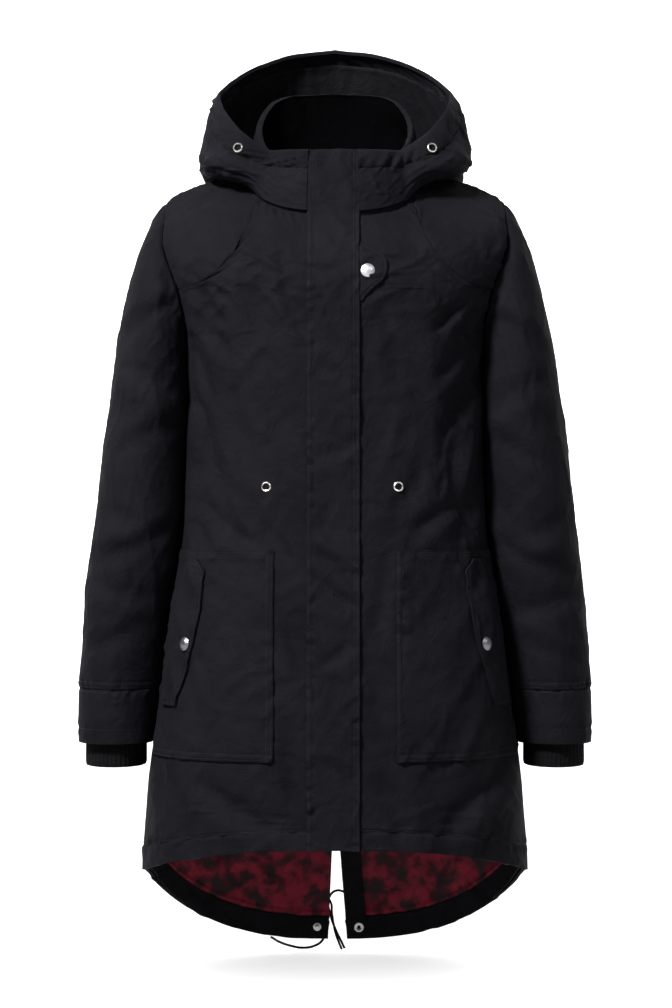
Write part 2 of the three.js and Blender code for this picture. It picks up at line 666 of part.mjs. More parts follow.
function addHood() {
  [["right", -1, 17.5], ["left", 1, 14]].forEach(([sideName, side, start]) => {
    const turns = [start, 24, ...HOOD_TURNS];
    const outer = drawIn(hoodGrid(turns, HOOD_RISES, 0), true, true);
    const inner = drawIn(hoodGrid(turns, HOOD_RISES, -HOOD_WALL), true, true);
    add(`hood_${sideName}`, wallBetween(flip(outer, side), flip(inner, side), false), CLOTH);
  });
  const turns = [17.5, 24, ...HOOD_TURNS];
  const casing = [1.01, 1.12, 1.25];
  const outer = drawIn(mirrored(hoodGrid(turns, casing, 0.6)), false, true);
  const inner = drawIn(mirrored(hoodGrid(turns, casing, -HOOD_WALL)), false, true);
  add("hood_casing", wallBetween(outer, inner, false), CLOTH);
  const inside = HOOD_TURNS.filter((turn) => turn >= 69);
  const under = -HOOD_WALL - 3 * SEAM;
  const rises = [0.3, 0.45, 0.58, 0.72, 0.86, 1];
  const liningOuter = mirrored(hoodGrid(inside, rises, under));
  const liningInner = mirrored(hoodGrid(inside, rises, under - LINING_WALL));
  add("hood_lining", wallBetween(liningOuter, liningInner, false), CLOTH);
}

function thetaAt(x, level) {
  const share = (Math.abs(x) / body.half(level)) ** 1.25;
  return Math.sign(x) * THREE.MathUtils.radToDeg(Math.asin(share));
}

function addPlacket() {
  const reaches = [PLACKET_LEFT, -16, 0, 14, PLACKET_RIGHT];
  const levels = [-160, -120, -80, -40, 0, 30, 58];
  const skin = (amount) => {
    const hem = [1, 0.5].map((share) => reaches.map((x) => {
      const theta = thetaAt(x, -800);
      return { theta, level: mix(HEM_ZONE_TOP, hemLine(theta), share) };
    }));
    const rows = [...BODY_ROWS, ...levels].map((level) => reaches.map((x) => ({ theta: thetaAt(x, level), level })));
    const low = [...hem, ...rows].map((row) => row.map((place) => {
      const normal = bodyNormal(place.theta, place.level);
      return bodyPoint(place.theta, place.level).addScaledVector(normal, amount);
    }));
    const high = [0.06, 0.35, 0.7, 1].map((rise) => reaches.map((x) => {
      const half = mix(100, 94, rise);
      const theta = Math.sign(x) * THREE.MathUtils.radToDeg(Math.asin((Math.abs(x) / half) ** 1.25));
      return collarOffset(theta, rise, amount);
    }));
    return [...low, ...high];
  };
  add("placket", wallBetween(skin(0.7 + PATCH_WALL), skin(0.7), false), CLOTH);
  const tab = TAB.map((row) => [PLACKET_RIGHT + SEAM, mix(PLACKET_RIGHT, row.reach, 0.5), row.reach].map((x) => (
    { theta: thetaAt(x, row.level), level: row.level }
  )));
  add("placket_tab", bodySheet(tab, 0.7 + PATCH_WALL, 0.7, 1), CLOTH);
}

function columnsBetween(start, end) {
  return [start, ...COLUMNS.filter((column) => column > start + 1 && column < end - 1), end];
}

function addPockets(side, sideName) {
  const rows = BODY_ROWS.filter((z) => z <= -455 && z >= -696);
  const pocket = rows.map((level) => columnsBetween(thetaAt(70, level), 77).map((theta) => ({ theta, level })));
  add(`pocket_${sideName}`, bodySheet(pocket, 0.5 + PATCH_WALL, 0.5, side), CLOTH);
  const levels = [-636, -620, -605, -580, -555, -530, -505, -482, -466];
  const free = makeCurve(FLAP, "z", "free");
  const hinge = makeCurve(FLAP, "z", "hinge");
  const flap = levels.map((level) => [0, 0.5, 1].map((share) => (
    { theta: mix(free(level), hinge(level), share), level }
  )));
  const low = 0.5 + PATCH_WALL + 0.9;
  add(`pocket_flap_${sideName}`, bodySheet(flap, low + PATCH_WALL, low, side), CLOTH);
}

function snapProfile(radius, height) {
  return [[0, 0], [radius, 0], [radius, height * 0.4], [radius * 0.8, height * 0.8], [0, height]];
}

function eyeletProfile(outer, hole, height) {
  return [[hole, 0], [outer, 0], [outer * 0.85, height], [hole * 1.1, height], [hole, 0]];
}

function addLathe(name, profile, place, way, finish) {
  const geometry = new THREE.LatheGeometry(profile.map(([r, z]) => new THREE.Vector2(r, z)), 16);
  const turn = new THREE.Quaternion().setFromUnitVectors(new THREE.Vector3(0, 1, 0), way);
  geometry.applyQuaternion(turn);
  geometry.translate(place.x, place.y, place.z);
  add(name, geometry, finish);
}

function addOnBody(name, profile, x, level, lift, side, finish) {
  const theta = thetaAt(x, level);
  const way = bodyNormal(theta, level);
  const place = bodyPoint(theta, level).addScaledVector(way, lift);
  way.x *= side;
  place.x *= side;
  addLathe(name, profile, place, way, finish);
}

function addMetal() {
  addOnBody("tab_snap", snapProfile(SNAP_RADIUS, 4), 37.5, -88, 1 + PATCH_WALL, 1, BRIGHT_METAL);
  [["right", -1], ["left", 1]].forEach(([sideName, side]) => {
    const flapTop = 0.5 + PATCH_WALL + 0.9 + PATCH_WALL + 0.4;
    addOnBody(`pocket_snap_${sideName}`, snapProfile(SNAP_RADIUS, 4), 169, -564, flapTop, side, DARK_METAL);
    addOnBody(`waist_eyelet_${sideName}`, eyeletProfile(6, 2.8, 1.4), WAIST_EYELET_X[sideName], -381, 0.4, side, DARK_METAL);
    const way = normalOf(hoodPoint, 62, 1.06, 1, 0.03);
    const place = hoodPoint(62, 1.06).addScaledVector(way, 1.2);
    way.x *= side;
    place.x *= side;
    addLathe(`hood_eyelet_${sideName}`, eyeletProfile(5.5, 2.6, 1.4), place, way, BRIGHT_METAL);
  });
  const inside = -BODY_WALL - SEAM - LINING_WALL - 0.4;
  [["hem_snap_stud", -22.4, snapProfile(5, 3), inside], ["hem_snap_socket", 30, eyeletProfile(6, 2, 3), inside - 2.2]]
    .forEach(([name, x, profile, depth]) => {
      const theta = 180 - thetaAt(Math.abs(x), -927);
      const out = bodyNormal(theta, -927);
      const place = bodyPoint(theta, -927).addScaledVector(out, depth);
      out.x *= Math.sign(x);
      place.x *= Math.sign(x);
      addLathe(name, profile, place, out.negate(), BRIGHT_METAL);
    });
}

function addCord(name, points, steps) {
  const path = new THREE.CatmullRomCurve3(points.map((p) => new THREE.Vector3(...p)));
  const shape = new THREE.Shape();
  for (let k = 0; k < 8; k++) {
    const turn = (k / 8) * 2 * Math.PI;
    const [x, y] = [(Math.cos(turn) * CORD_DIAMETER) / 2, (Math.sin(turn) * CORD_DIAMETER) / 2];
    if (k === 0) shape.moveTo(x, y);
    else shape.lineTo(x, y);
  }
  add(name, new THREE.ExtrudeGeometry(shape, { steps, extrudePath: path, curveSegments: 1 }), CORD);
}

[["right", -1], ["left", 1]].forEach(([sideName, side]) => {
  addBody(side, sideName);
  addInside(side, sideName);
  addSleeve(side, sideName);
  addKnitCuff(side, sideName);
  addPockets(side, sideName);
});
addVentFacing();
addCollar();
addHood();
addPlacket();
addMetal();
addCord("hem_cord_right", CORD_RIGHT, 32);
addCord("hem_cord_left", CORD_LEFT, 20);

export default coat;
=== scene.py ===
"""The black padded parka in worn form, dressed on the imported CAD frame."""

import logging
import math
from dataclasses import dataclass, field
from enum import Enum

import bmesh
import bpy
import numpy as np
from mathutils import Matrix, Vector

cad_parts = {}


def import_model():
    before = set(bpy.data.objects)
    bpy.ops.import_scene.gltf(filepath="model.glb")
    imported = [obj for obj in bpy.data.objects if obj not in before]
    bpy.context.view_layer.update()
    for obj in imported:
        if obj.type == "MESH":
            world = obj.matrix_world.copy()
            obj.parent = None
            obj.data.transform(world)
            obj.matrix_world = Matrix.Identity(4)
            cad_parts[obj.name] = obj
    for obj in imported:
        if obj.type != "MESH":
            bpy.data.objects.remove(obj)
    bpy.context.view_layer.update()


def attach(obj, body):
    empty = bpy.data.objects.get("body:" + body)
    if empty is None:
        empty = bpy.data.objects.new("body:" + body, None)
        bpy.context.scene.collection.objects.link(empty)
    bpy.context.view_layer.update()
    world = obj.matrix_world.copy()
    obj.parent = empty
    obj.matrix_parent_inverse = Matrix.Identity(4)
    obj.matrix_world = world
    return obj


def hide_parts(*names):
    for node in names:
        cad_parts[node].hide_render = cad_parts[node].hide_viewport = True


LOG = logging.getLogger("parka")
MM = 0.001
# The power that rounds a cross-section of the coat: 1 is an ellipse, and less is squarer.
ROUNDING = 0.8
Array = np.ndarray


class Side(Enum):
    """The wearer's right or left, as a name and the sign of X."""

    RIGHT = ("right", -1.0)
    LEFT = ("left", 1.0)

    @property
    def word(self) -> str:
        """The side's name in node names."""
        return self.value[0]

    @property
    def sign(self) -> float:
        """The sign of X on this side."""
        return self.value[1]


def smooth(low: float, high: float, at: Array) -> Array:
    """A soft step from 0 to 1.

    Args:
        low: Where the step starts.
        high: Where it ends.
        at: The places to read it at.

    Returns:
        The step's height at each place.
    """
    share = np.clip((np.asarray(at, float) - low) / (high - low), 0.0, 1.0)
    return share * share * (3.0 - 2.0 * share)


def mix(a: Array, b: Array, share: Array) -> Array:
    """A straight blend from a to b."""
    return a + (b - a) * share


class SoftCurve:
    """A smooth curve through table rows that never overshoots between them."""

    def __init__(self, xs: list[float], ys: list[float]) -> None:
        """Works out the tangents once.

        Args:
            xs: Rising table positions.
            ys: The value at each position.
        """
        self.xs, self.ys = np.array(xs, float), np.array(ys, float)
        self.widths = np.diff(self.xs)
        slopes = np.diff(self.ys) / self.widths
        tangents = [slopes[0]]
        for k in range(1, len(slopes)):
            before = 2 * self.widths[k] + self.widths[k - 1]
            after = self.widths[k] + 2 * self.widths[k - 1]
            flat = slopes[k - 1] * slopes[k] <= 0
            tangents.append(0.0 if flat else (before + after) / (before / slopes[k - 1] + after / slopes[k]))
        tangents.append(slopes[-1])
        self.tangents = np.array(tangents)

    def __call__(self, at: Array) -> Array:
        """The curve's height at each place.

        Args:
            at: Places along the table.

        Returns:
            One value for each place, held at the table's ends.
        """
        held = np.clip(np.asarray(at, float), self.xs[0], self.xs[-1])
        k = np.clip(np.searchsorted(self.xs, held, side="right") - 1, 0, len(self.widths) - 1)
        u = (held - self.xs[k]) / self.widths[k]
        start = (1 + 2 * u) * (1 - u) ** 2 * self.ys[k] + u * (1 - u) ** 2 * self.widths[k] * self.tangents[k]
        end = u * u * (3 - 2 * u) * self.ys[k + 1]
        return start + end + u * u * (u - 1) * self.widths[k] * self.tangents[k + 1]


def curves_of(names: tuple[str, ...], rows: list[tuple[float, ...]]) -> dict[str, SoftCurve]:
    """A curve for each column of a table after its first.

    Args:
        names: The columns' names.
        rows: The table.

    Returns:
        The curves by name.
    """
    columns = list(zip(*rows))
    return {name: SoftCurve(columns[0], columns[k]) for k, name in enumerate(names) if k}


def unit(v: Array) -> Array:
    """Vectors scaled to length one along the last axis."""
    return v / np.maximum(np.linalg.norm(v, axis=-1, keepdims=True), 1e-9)


def surface_normals(points: Array) -> Array:
    """Normals of a grid of points, along u cross v.

    Args:
        points: Rows by columns by 3.

    Returns:
        Unit normals of the same shape.
    """
    return unit(np.cross(np.gradient(points, axis=1), np.gradient(points, axis=0)))


def arc(points: Array, axis: int) -> Array:
    """Distance along a grid's rows or columns, in the grid's unit.

    Args:
        points: Rows by columns by 3.
        axis: 1 along rows, 0 along columns.

    Returns:
        The running length at each point.
    """
    steps = np.linalg.norm(np.diff(points, axis=axis), axis=-1)
    start = np.zeros_like(np.take(points[..., 0], [0], axis=axis))
    return np.concatenate([start, np.cumsum(steps, axis=axis)], axis=axis)


SEAM_ROWS = (0.7, 1.8, 3.0, 4.2, 5.6, 7.2, 8.6, 10.2, 13.0)
NARROW_ROWS = (0.7, 1.8, 3.2, 5.0)


def shares(count: int, length: float, edge: tuple[float, ...] = SEAM_ROWS) -> Array:
    """Even shares from 0 to 1, with closer ones a few millimetres in from each end.

    Args:
        count: How many even spans.
        length: The real length in millimetres.
        edge: The closer places in from the ends, in millimetres.

    Returns:
        Rising shares.
    """
    extra = [place / length for place in edge if place / length < 0.3]
    reach = extra[-1] + 0.5 / count if extra else 0.0
    inner = [share for share in np.linspace(0, 1, count + 1)[1:-1] if reach < share < 1 - reach]
    return np.array([0.0, *extra, *inner, *[1 - place for place in reversed(extra)], 1.0])


@dataclass(frozen=True)
class Crease:
    """A fold of the cloth: a soft trough or ridge between two places."""

    x0: float
    z0: float
    x1: float
    z1: float
    depth: float
    width: float
    bow: float = 0.0


def crease_relief(x: Array, z: Array, creases: tuple[Crease, ...]) -> Array:
    """How far the creases lift or sink the cloth.

    Args:
        x: Places across, in millimetres.
        z: Places up.
        creases: The folds.

    Returns:
        The relief in millimetres, negative in a trough.
    """
    total = np.zeros_like(x)
    for fold in creases:
        way = np.array([fold.x1 - fold.x0, fold.z1 - fold.z0])
        length = float(np.hypot(*way))
        way = way / length
        along = ((x - fold.x0) * way[0] + (z - fold.z0) * way[1]) / length
        across = -(x - fold.x0) * way[1] + (z - fold.z0) * way[0]
        across = across - fold.bow * np.sin(np.pi * np.clip(along, 0, 1))
        fade = smooth(-0.12, 0.3, along) * (1 - smooth(0.7, 1.12, along))
        side = np.exp(-((across / fold.width) ** 2))
        lip = np.exp(-(((across - 1.9 * fold.width) / (1.1 * fold.width)) ** 2))
        total += fold.depth * fade * (lip * 0.75 - side)
    return total


def drift(a: Array, b: Array, scale: float, seed: float) -> Array:
    """A slow uneven swell from a few sines, the same on every run.

    Args:
        a: Places along one way, in millimetres.
        b: Places along the other.
        scale: The swell's rough size in millimetres.
        seed: Shifts the pattern.

    Returns:
        Values of about -1 to 1.
    """
    p, q = a / scale, b / scale
    return (
        np.sin(1.7 * p + 0.9 * q + 1.3 * seed)
        + np.sin(-1.1 * p + 2.3 * q + 2.1 * seed + 1.4 * np.sin(0.7 * p + seed))
        + np.sin(2.9 * p - 1.3 * q + 0.7 * seed + 1.1 * np.sin(1.3 * q - seed))
    ) / 2.4


def wrinkles(a: Array, b: Array, lean: float, scale: float, seed: float, patch: float = 5.0) -> Array:
    """Long thin wrinkles that come and go in patches.

    Args:
        a: Places across, in millimetres.
        b: Places up.
        lean: Degrees that the wrinkles lean from upright.
        scale: About a third of the distance between two wrinkles.
        seed: Shifts the pattern.
        patch: Size of the patches, in scales.

    Returns:
        Relief of about -0.4 to 0.6.
    """
    turn = math.radians(lean)
    across = a * math.cos(turn) + b * math.sin(turn)
    along = b * math.cos(turn) - a * math.sin(turn)
    bend = 1.1 * np.sin(along / (5.2 * scale) + seed)
    bend = bend + 0.6 * np.sin(along / (2.7 * scale) + across / (4 * scale) + 2 * seed)
    ridge = (1 - np.abs(np.sin(across / scale + bend + seed))) ** 1.4
    there = smooth(-0.25, 0.75, drift(across * 1.6, along, patch * scale, seed + 3.3))
    return (ridge - 0.36) * there


def rumple(a: Array, b: Array, seed: float, sign: float = 1.0) -> Array:
    """The crumpled look of washed canvas: wrinkles of three sizes that lean both ways.

    Args:
        a: Places across, in millimetres.
        b: Places up.
        seed: Shifts the pattern.
        sign: Which way the larger wrinkles lean.

    Returns:
        Relief in millimetres.
    """
    large = 2.6 * wrinkles(a, b, 24 * sign, 13, seed)
    middle = 1.5 * wrinkles(a, b, -38 * sign, 7.5, seed + 1.7)
    middle = middle + 0.9 * wrinkles(a, b, 62 * sign, 8.5, seed + 4.1, 4.0)
    small = 0.75 * wrinkles(a, b, 12 * sign, 4.2, seed + 6.2, 7.0)
    small = small + 0.6 * wrinkles(a, b, 84, 4.0, seed + 8.9, 6.0)
    return large + middle + small


def pucker(along: Array, inward: Array, seed: float, reach: float = 15.0) -> Array:
    """The short waves that sewing gathers beside a seam.

    Args:
        along: Distance along the seam in millimetres.
        inward: Distance in from it.
        seed: Shifts the pattern.
        reach: How far in the waves run.

    Returns:
        Relief of about -1 to 1, gone past reach.
    """
    lean = along + 0.5 * inward * np.sin(along / 44.0 + 2.0 * seed)
    wave = np.sin(lean / 2.3 + seed + 1.8 * np.sin(lean / 21.0 + seed)) + 0.8 * np.sin(lean / 4.3 - 2 * seed)
    wave = wave + 0.7 * np.sin(lean / 8.6 + 1.3 * seed) * np.exp(-((inward / (1.3 * reach)) ** 2))
    strength = 0.6 + 0.4 * np.sin(along / 31.0 + 3.1 * seed)
    return wave * strength * np.exp(-((inward - 4.0) / (reach * 0.55)) ** 2)


def groove(inward: Array, place: float, depth: float = 0.7, width: float = 1.25) -> Array:
    """The dent that a row of stitches presses into padded cloth.

    Args:
        inward: Distance in from the edge in millimetres.
        place: Where the row runs.
        depth: How deep it presses.
        width: Half the dent's width.

    Returns:
        How far the cloth sinks.
    """
    return depth * np.exp(-(((inward - place) / width) ** 2))


def line_beside(points: Array, edge: str, inward: float) -> Array:
    """A line on a grid of points, a fixed distance in from one of its edges.

    Args:
        points: Rows by columns by 3, in millimetres.
        edge: left, right, bottom or top.
        inward: The distance.

    Returns:
        The line's points.
    """
    turned = points if edge in ("left", "right") else points.transpose(1, 0, 2)
    turned = turned if edge in ("left", "bottom") else turned[:, ::-1]
    near = turned[:, : max(turned.shape[1] // 2, 3)]
    run = arc(near, 1)
    return np.array([[np.interp(inward, run[j], near[j, :, k]) for k in range(3)] for j in range(len(near))])


@dataclass
class BodyForm:
    """The surface of the coat's body, worked out from its station table."""

    curves: dict[str, SoftCurve] = field(
        default_factory=lambda: curves_of(
            ("level", "zSide", "zFront", "zBack", "half", "front", "back"),
            [
                (-960, -960, -960, -960, 230, 160, 121),
                (-838, -838, -838, -838, 230, 160, 121),
                (-756, -756, -756, -756, 225, 158, 120),
                (-722, -722, -722, -722, 222, 157, 119),
                (-636, -636, -636, -636, 210, 152, 116),
                (-540, -540, -540, -540, 198, 143, 112),
                (-468, -468, -468, -468, 186, 136, 109),
                (-420, -420, -420, -420, 180, 131, 108),
                (-348, -348, -348, -348, 178, 128, 108),
                (-276, -276, -276, -276, 176, 126, 110),
                (-205, -205, -205, -205, 178, 128, 113),
                (-150, -150, -160, -150, 194, 128, 114),
                (-110, -110, -143, -112, 206, 126, 113),
                (-75, -75, -128, -84, 212, 123, 112),
                (-40, -40, -115, -62, 203, 119, 109),
                (0, -19, -98, -38, 166, 111, 102),
                (30, -8, -82, -15, 132, 102, 92),
                (60, 0, -66, 8, 100, 93, 80),
            ],
        )
    )
    neck_level: float = 60.0
    armpit_level: float = -205.0
    tip_level: float = -40.0
    zone_top: float = -740.0
    hem_level: float = -838.0
    front_rise: float = 43.0
    back_drop: float = 105.0
    front_spread: float = 22.0
    back_spread: float = -20.0

    def point(self, theta: Array, level: Array) -> Array:
        """Places on the outside of the body.

        Args:
            theta: Degrees round from the centre front towards +X.
            level: The station's level.

        Returns:
            Points in millimetres.
        """
        s, c = np.sin(np.radians(theta)), np.cos(np.radians(theta))
        forward = c >= 0
        depth = np.where(forward, self.curves["front"](level), self.curves["back"](level))
        turned = np.where(forward, self.curves["zFront"](level), self.curves["zBack"](level))
        side = self.curves["zSide"](level)
        x = self.curves["half"](level) * np.sign(s) * np.abs(s) ** ROUNDING
        y = -depth * np.sign(c) * np.abs(c) ** ROUNDING
        return np.stack([x, y, mix(side, turned, np.abs(c) ** 0.75)], axis=-1)

    def normal(self, theta: Array, level: Array) -> Array:
        """Unit normals out of the body.

        Args:
            theta: Degrees round from the centre front towards +X.
            level: The station's level.

        Returns:
            One normal for each place.
        """
        level = np.minimum(level, self.neck_level - 1)
        along = self.point(theta + 1, level) - self.point(theta - 1, level)
        up = self.point(theta, level + 1) - self.point(theta, level - 1)
        return unit(np.cross(along, up))

    def theta_at(self, x: Array, level: Array) -> Array:
        """The turn at which the body is x millimetres off centre."""
        share = (np.abs(x) / self.curves["half"](level)) ** (1 / ROUNDING)
        return np.sign(x) * np.degrees(np.arcsin(np.clip(share, 0, 1)))

    def hem(self, theta: Array) -> Array:
        """The level of the hem's lower edge.

        Args:
            theta: Degrees round from the centre front.

        Returns:
            One level for each turn.
        """
        c = np.cos(np.radians(theta))
        front = self.hem_level + self.front_rise * np.clip(c, 0, 1) ** 1.3
        return np.where(c >= 0, front, self.hem_level - self.back_drop * np.clip(-c, 0, 1) ** 1.35)

    def band(self, theta: Array) -> Array:
        """The level of the seam above the hem band."""
        c = np.cos(np.radians(theta))
        return self.hem(theta) + np.where(c >= 0, mix(29, 21, c), mix(29, 24, -c))

    def armhole(self, turn: Array, spread: float) -> tuple[Array, Array]:
        """One side of the armhole.

        Args:
            turn: 0 at the armpit to 1 at the shoulder tip.
            spread: Degrees that it reaches from the side, minus to the back.

        Returns:
            Theta and level.
        """
        angle = np.asarray(turn) * np.pi
        middle, reach = (self.armpit_level + self.tip_level) / 2, (self.tip_level - self.armpit_level) / 2
        return 90 - spread * np.sin(angle), middle - reach * np.cos(angle)


FORM = BodyForm()
YOKE_THETA = SoftCurve(
    [-144, -137, -128, -111.5, -81, -38.5, 2.2, 30.8, 45.8, 60],
    [68.75, 56, 48, 40.7, 33.2, 29.8, 35.4, 44.1, 52, 57],
)
SLIT = {
    "right": SoftCurve([-960, -943, -834, -735], [9.4, 8.7, 3.8, 0.2]),
    "left": SoftCurve([-960, -943, -834, -735], [16, 15, 6.4, 0.2]),
}

FRONT_FOLDS = {
    "right": (
        Crease(168, -232, 124, -410, 6.5, 15, 8),
        Crease(176, -330, 150, -450, 5.0, 12, -5),
        Crease(158, -148, 124, -196, 4.2, 7, 4),
        Crease(163, -172, 120, -236, 4.4, 8, -3),
        Crease(168, -205, 134, -292, 3.6, 8, 5),
        Crease(174, -262, 150, -352, 3.4, 8, -4),
        Crease(92, -112, 60, -300, 2.6, 15, 10),
        Crease(64, -96, 44, -190, 1.7, 7, 4),
        Crease(120, -250, 84, -380, 2.3, 13, 7),
        Crease(160, -392, 92, -446, 3.4, 9, 5),
        Crease(140, -440, 60, -452, 2.2, 8, -3),
        Crease(84, -420, 42, -470, 2.0, 9, 3),
        Crease(64, -500, 34, -620, 2.4, 9, -4),
        Crease(52, -640, 40, -760, 2.6, 10, 4),
        Crease(158, -716, 60, -776, 4.2, 13, 6),
        Crease(206, -700, 168, -812, 4.0, 13, -6),
        Crease(110, -770, 96, -830, 2.4, 11, 3),
        Crease(186, -470, 152, -540, 2.4, 11, 4),
    ),
    "left": (
        Crease(172, -222, 130, -388, 7.0, 15, -9),
        Crease(176, -300, 142, -446, 5.2, 12, 6),
        Crease(150, -166, 116, -206, 4.0, 7, -3),
        Crease(166, -190, 112, -262, 4.2, 9, 4),
        Crease(172, -250, 122, -330, 3.2, 8, -4),
        Crease(80, -140, 108, -330, 2.4, 14, -8),
        Crease(56, -166, 70, -280, 1.8, 9, 4),
        Crease(110, -330, 66, -420, 2.4, 11, 5),
        Crease(154, -396, 84, -440, 3.2, 9, -4),
        Crease(60, -446, 44, -560, 2.2, 9, 4),
        Crease(42, -706, 84, -790, 4.6, 11, 5),
        Crease(196, -716, 116, -792, 4.6, 13, -7),
        Crease(150, -800, 60, -822, 2.6, 10, -3),
        Crease(206, -640, 178, -740, 3.0, 11, 3),
        Crease(50, -600, 62, -690, 2.0, 10, -4),
        Crease(180, -462, 150, -520, 2.6, 10, -4),
    ),
}
BACK_FOLDS = {
    "right": (
        Crease(162, -222, 84, -360, 6.2, 17, 6),
        Crease(150, -410, 40, -462, 5.2, 16, 5),
        Crease(164, -500, 60, -566, 4.6, 17, -5),
        Crease(160, -150, 116, -210, 4.0, 9, 5),
        Crease(168, -290, 110, -420, 4.0, 11, -7),
        Crease(60, -130, 66, -320, 2.8, 14, 6),
        Crease(120, -460, 26, -498, 3.2, 10, -4),
        Crease(130, -620, 150, -800, 4.0, 16, 8),
        Crease(46, -640, 60, -840, 3.4, 14, -6),
        Crease(196, -640, 180, -780, 3.4, 12, 5),
        Crease(90, -700, 104, -880, 3.0, 14, 4),
    ),
    "left": (
        Crease(166, -232, 92, -384, 6.2, 17, -6),
        Crease(146, -424, 34, -480, 5.2, 16, -5),
        Crease(160, -520, 54, -590, 4.6, 17, 6),
        Crease(158, -160, 110, -226, 4.0, 9, -5),
        Crease(170, -300, 96, -410, 4.0, 11, 8),
        Crease(52, -120, 74, -280, 2.8, 14, -5),
        Crease(110, -450, 30, -452, 3.0, 9, 4),
        Crease(120, -600, 140, -780, 4.0, 15, -7),
        Crease(50, -660, 44, -850, 3.4, 13, 7),
        Crease(200, -660, 176, -800, 3.2, 12, -5),
        Crease(86, -720, 96, -900, 3.0, 14, -4),
    ),
}


def body_relief(theta: Array, level: Array, side: Side) -> Array:
    """The folds of the body's padded cloth at a place.

    Args:
        theta: Degrees round on the +X side.
        level: Station level.
        side: Which side of the coat.

    Returns:
        Relief in millimetres, the same for every layer on that place.
    """
    point = FORM.point(theta, level)
    x, z = point[..., 0], point[..., 2]
    front = np.cos(np.radians(theta)) >= 0
    before, behind = (crease_relief(x, z, folds[side.word]) for folds in (FRONT_FOLDS, BACK_FOLDS))
    folds = np.where(front, before, behind)
    seed = 1.0 if side is Side.RIGHT else 2.3
    around = np.radians(theta) * 150
    swell = 1.7 * drift(around, level, 95, seed) + 0.7 * drift(around, level, 36, seed + 4)
    swell = swell + 1.5 * rumple(around, level, seed + 9, -1.0)
    calm = smooth(3.8, 8.5, theta) * (1 - smooth(166, 178, theta))
    beside = np.exp(-(((theta - 90) / 9) ** 2))
    calm = calm * (1 - 0.7 * smooth(-60, 40, level)) * (1 - 0.7 * beside)
    relief = (folds * 1.35 + swell * 1.1) * np.clip(calm, 0.12, 1.0)
    below = 1 - smooth(-215, -195, level)
    held = 1 - 0.9 * np.exp(-(((theta - 90) / 24) ** 2)) * below
    kept = 1 - 0.9 * np.exp(-(((theta - 90) / 11) ** 2)) * below
    return np.where(relief > 0, relief * held, relief * kept)


def add_noise(
    material: bpy.types.Material,
    where: bpy.types.NodeSocket,
    scale: float,
    detail: float,
    roughness: float = 0.5,
    distortion: float = 0.0,
) -> bpy.types.Node:
    """Adds a noise texture to a material.

    Args:
        material: The material.
        where: The places that the noise is read at.
        scale: How close its spots lie.
        detail: How many finer layers it has.
        roughness: How strong the finer layers are.
        distortion: How far it is bent.

    Returns:
        The noise node.
    """
    noise = material.node_tree.nodes.new("ShaderNodeTexNoise")
    noise.inputs["Scale"].default_value = scale
    noise.inputs["Detail"].default_value = detail
    noise.inputs["Roughness"].default_value = roughness
    noise.inputs["Distortion"].default_value = distortion
    material.node_tree.links.new(where, noise.inputs["Vector"])
    return noise


def add_bump(
    material: bpy.types.Material,
    height: bpy.types.NodeSocket,
    strength: float,
    distance: float,
    below: bpy.types.NodeSocket | None = None,
) -> bpy.types.NodeSocket:
    """Adds a bump to a material, on top of the one below it.

    Args:
        material: The material.
        height: The bump's height.
        strength: How much of it shows.
        distance: Its depth in metres.
        below: The normal of the bump below.

    Returns:
        The bumped normal.
    """
    bump = material.node_tree.nodes.new("ShaderNodeBump")
    bump.inputs["Strength"].default_value = strength
    bump.inputs["Distance"].default_value = distance
    material.node_tree.links.new(height, bump.inputs["Height"])
    if below is not None:
        material.node_tree.links.new(below, bump.inputs["Normal"])
    return bump.outputs["Normal"]


def put_in_scene(name: str, data: bpy.types.ID) -> bpy.types.Object:
    """Makes an object of a mesh, a curve, a lamp or a camera, and links it to the scene.

    Args:
        name: The object's name.
        data: What it shows.

    Returns:
        The object.
    """
    made = bpy.data.objects.new(name, data)
    bpy.context.scene.collection.objects.link(made)
    return made


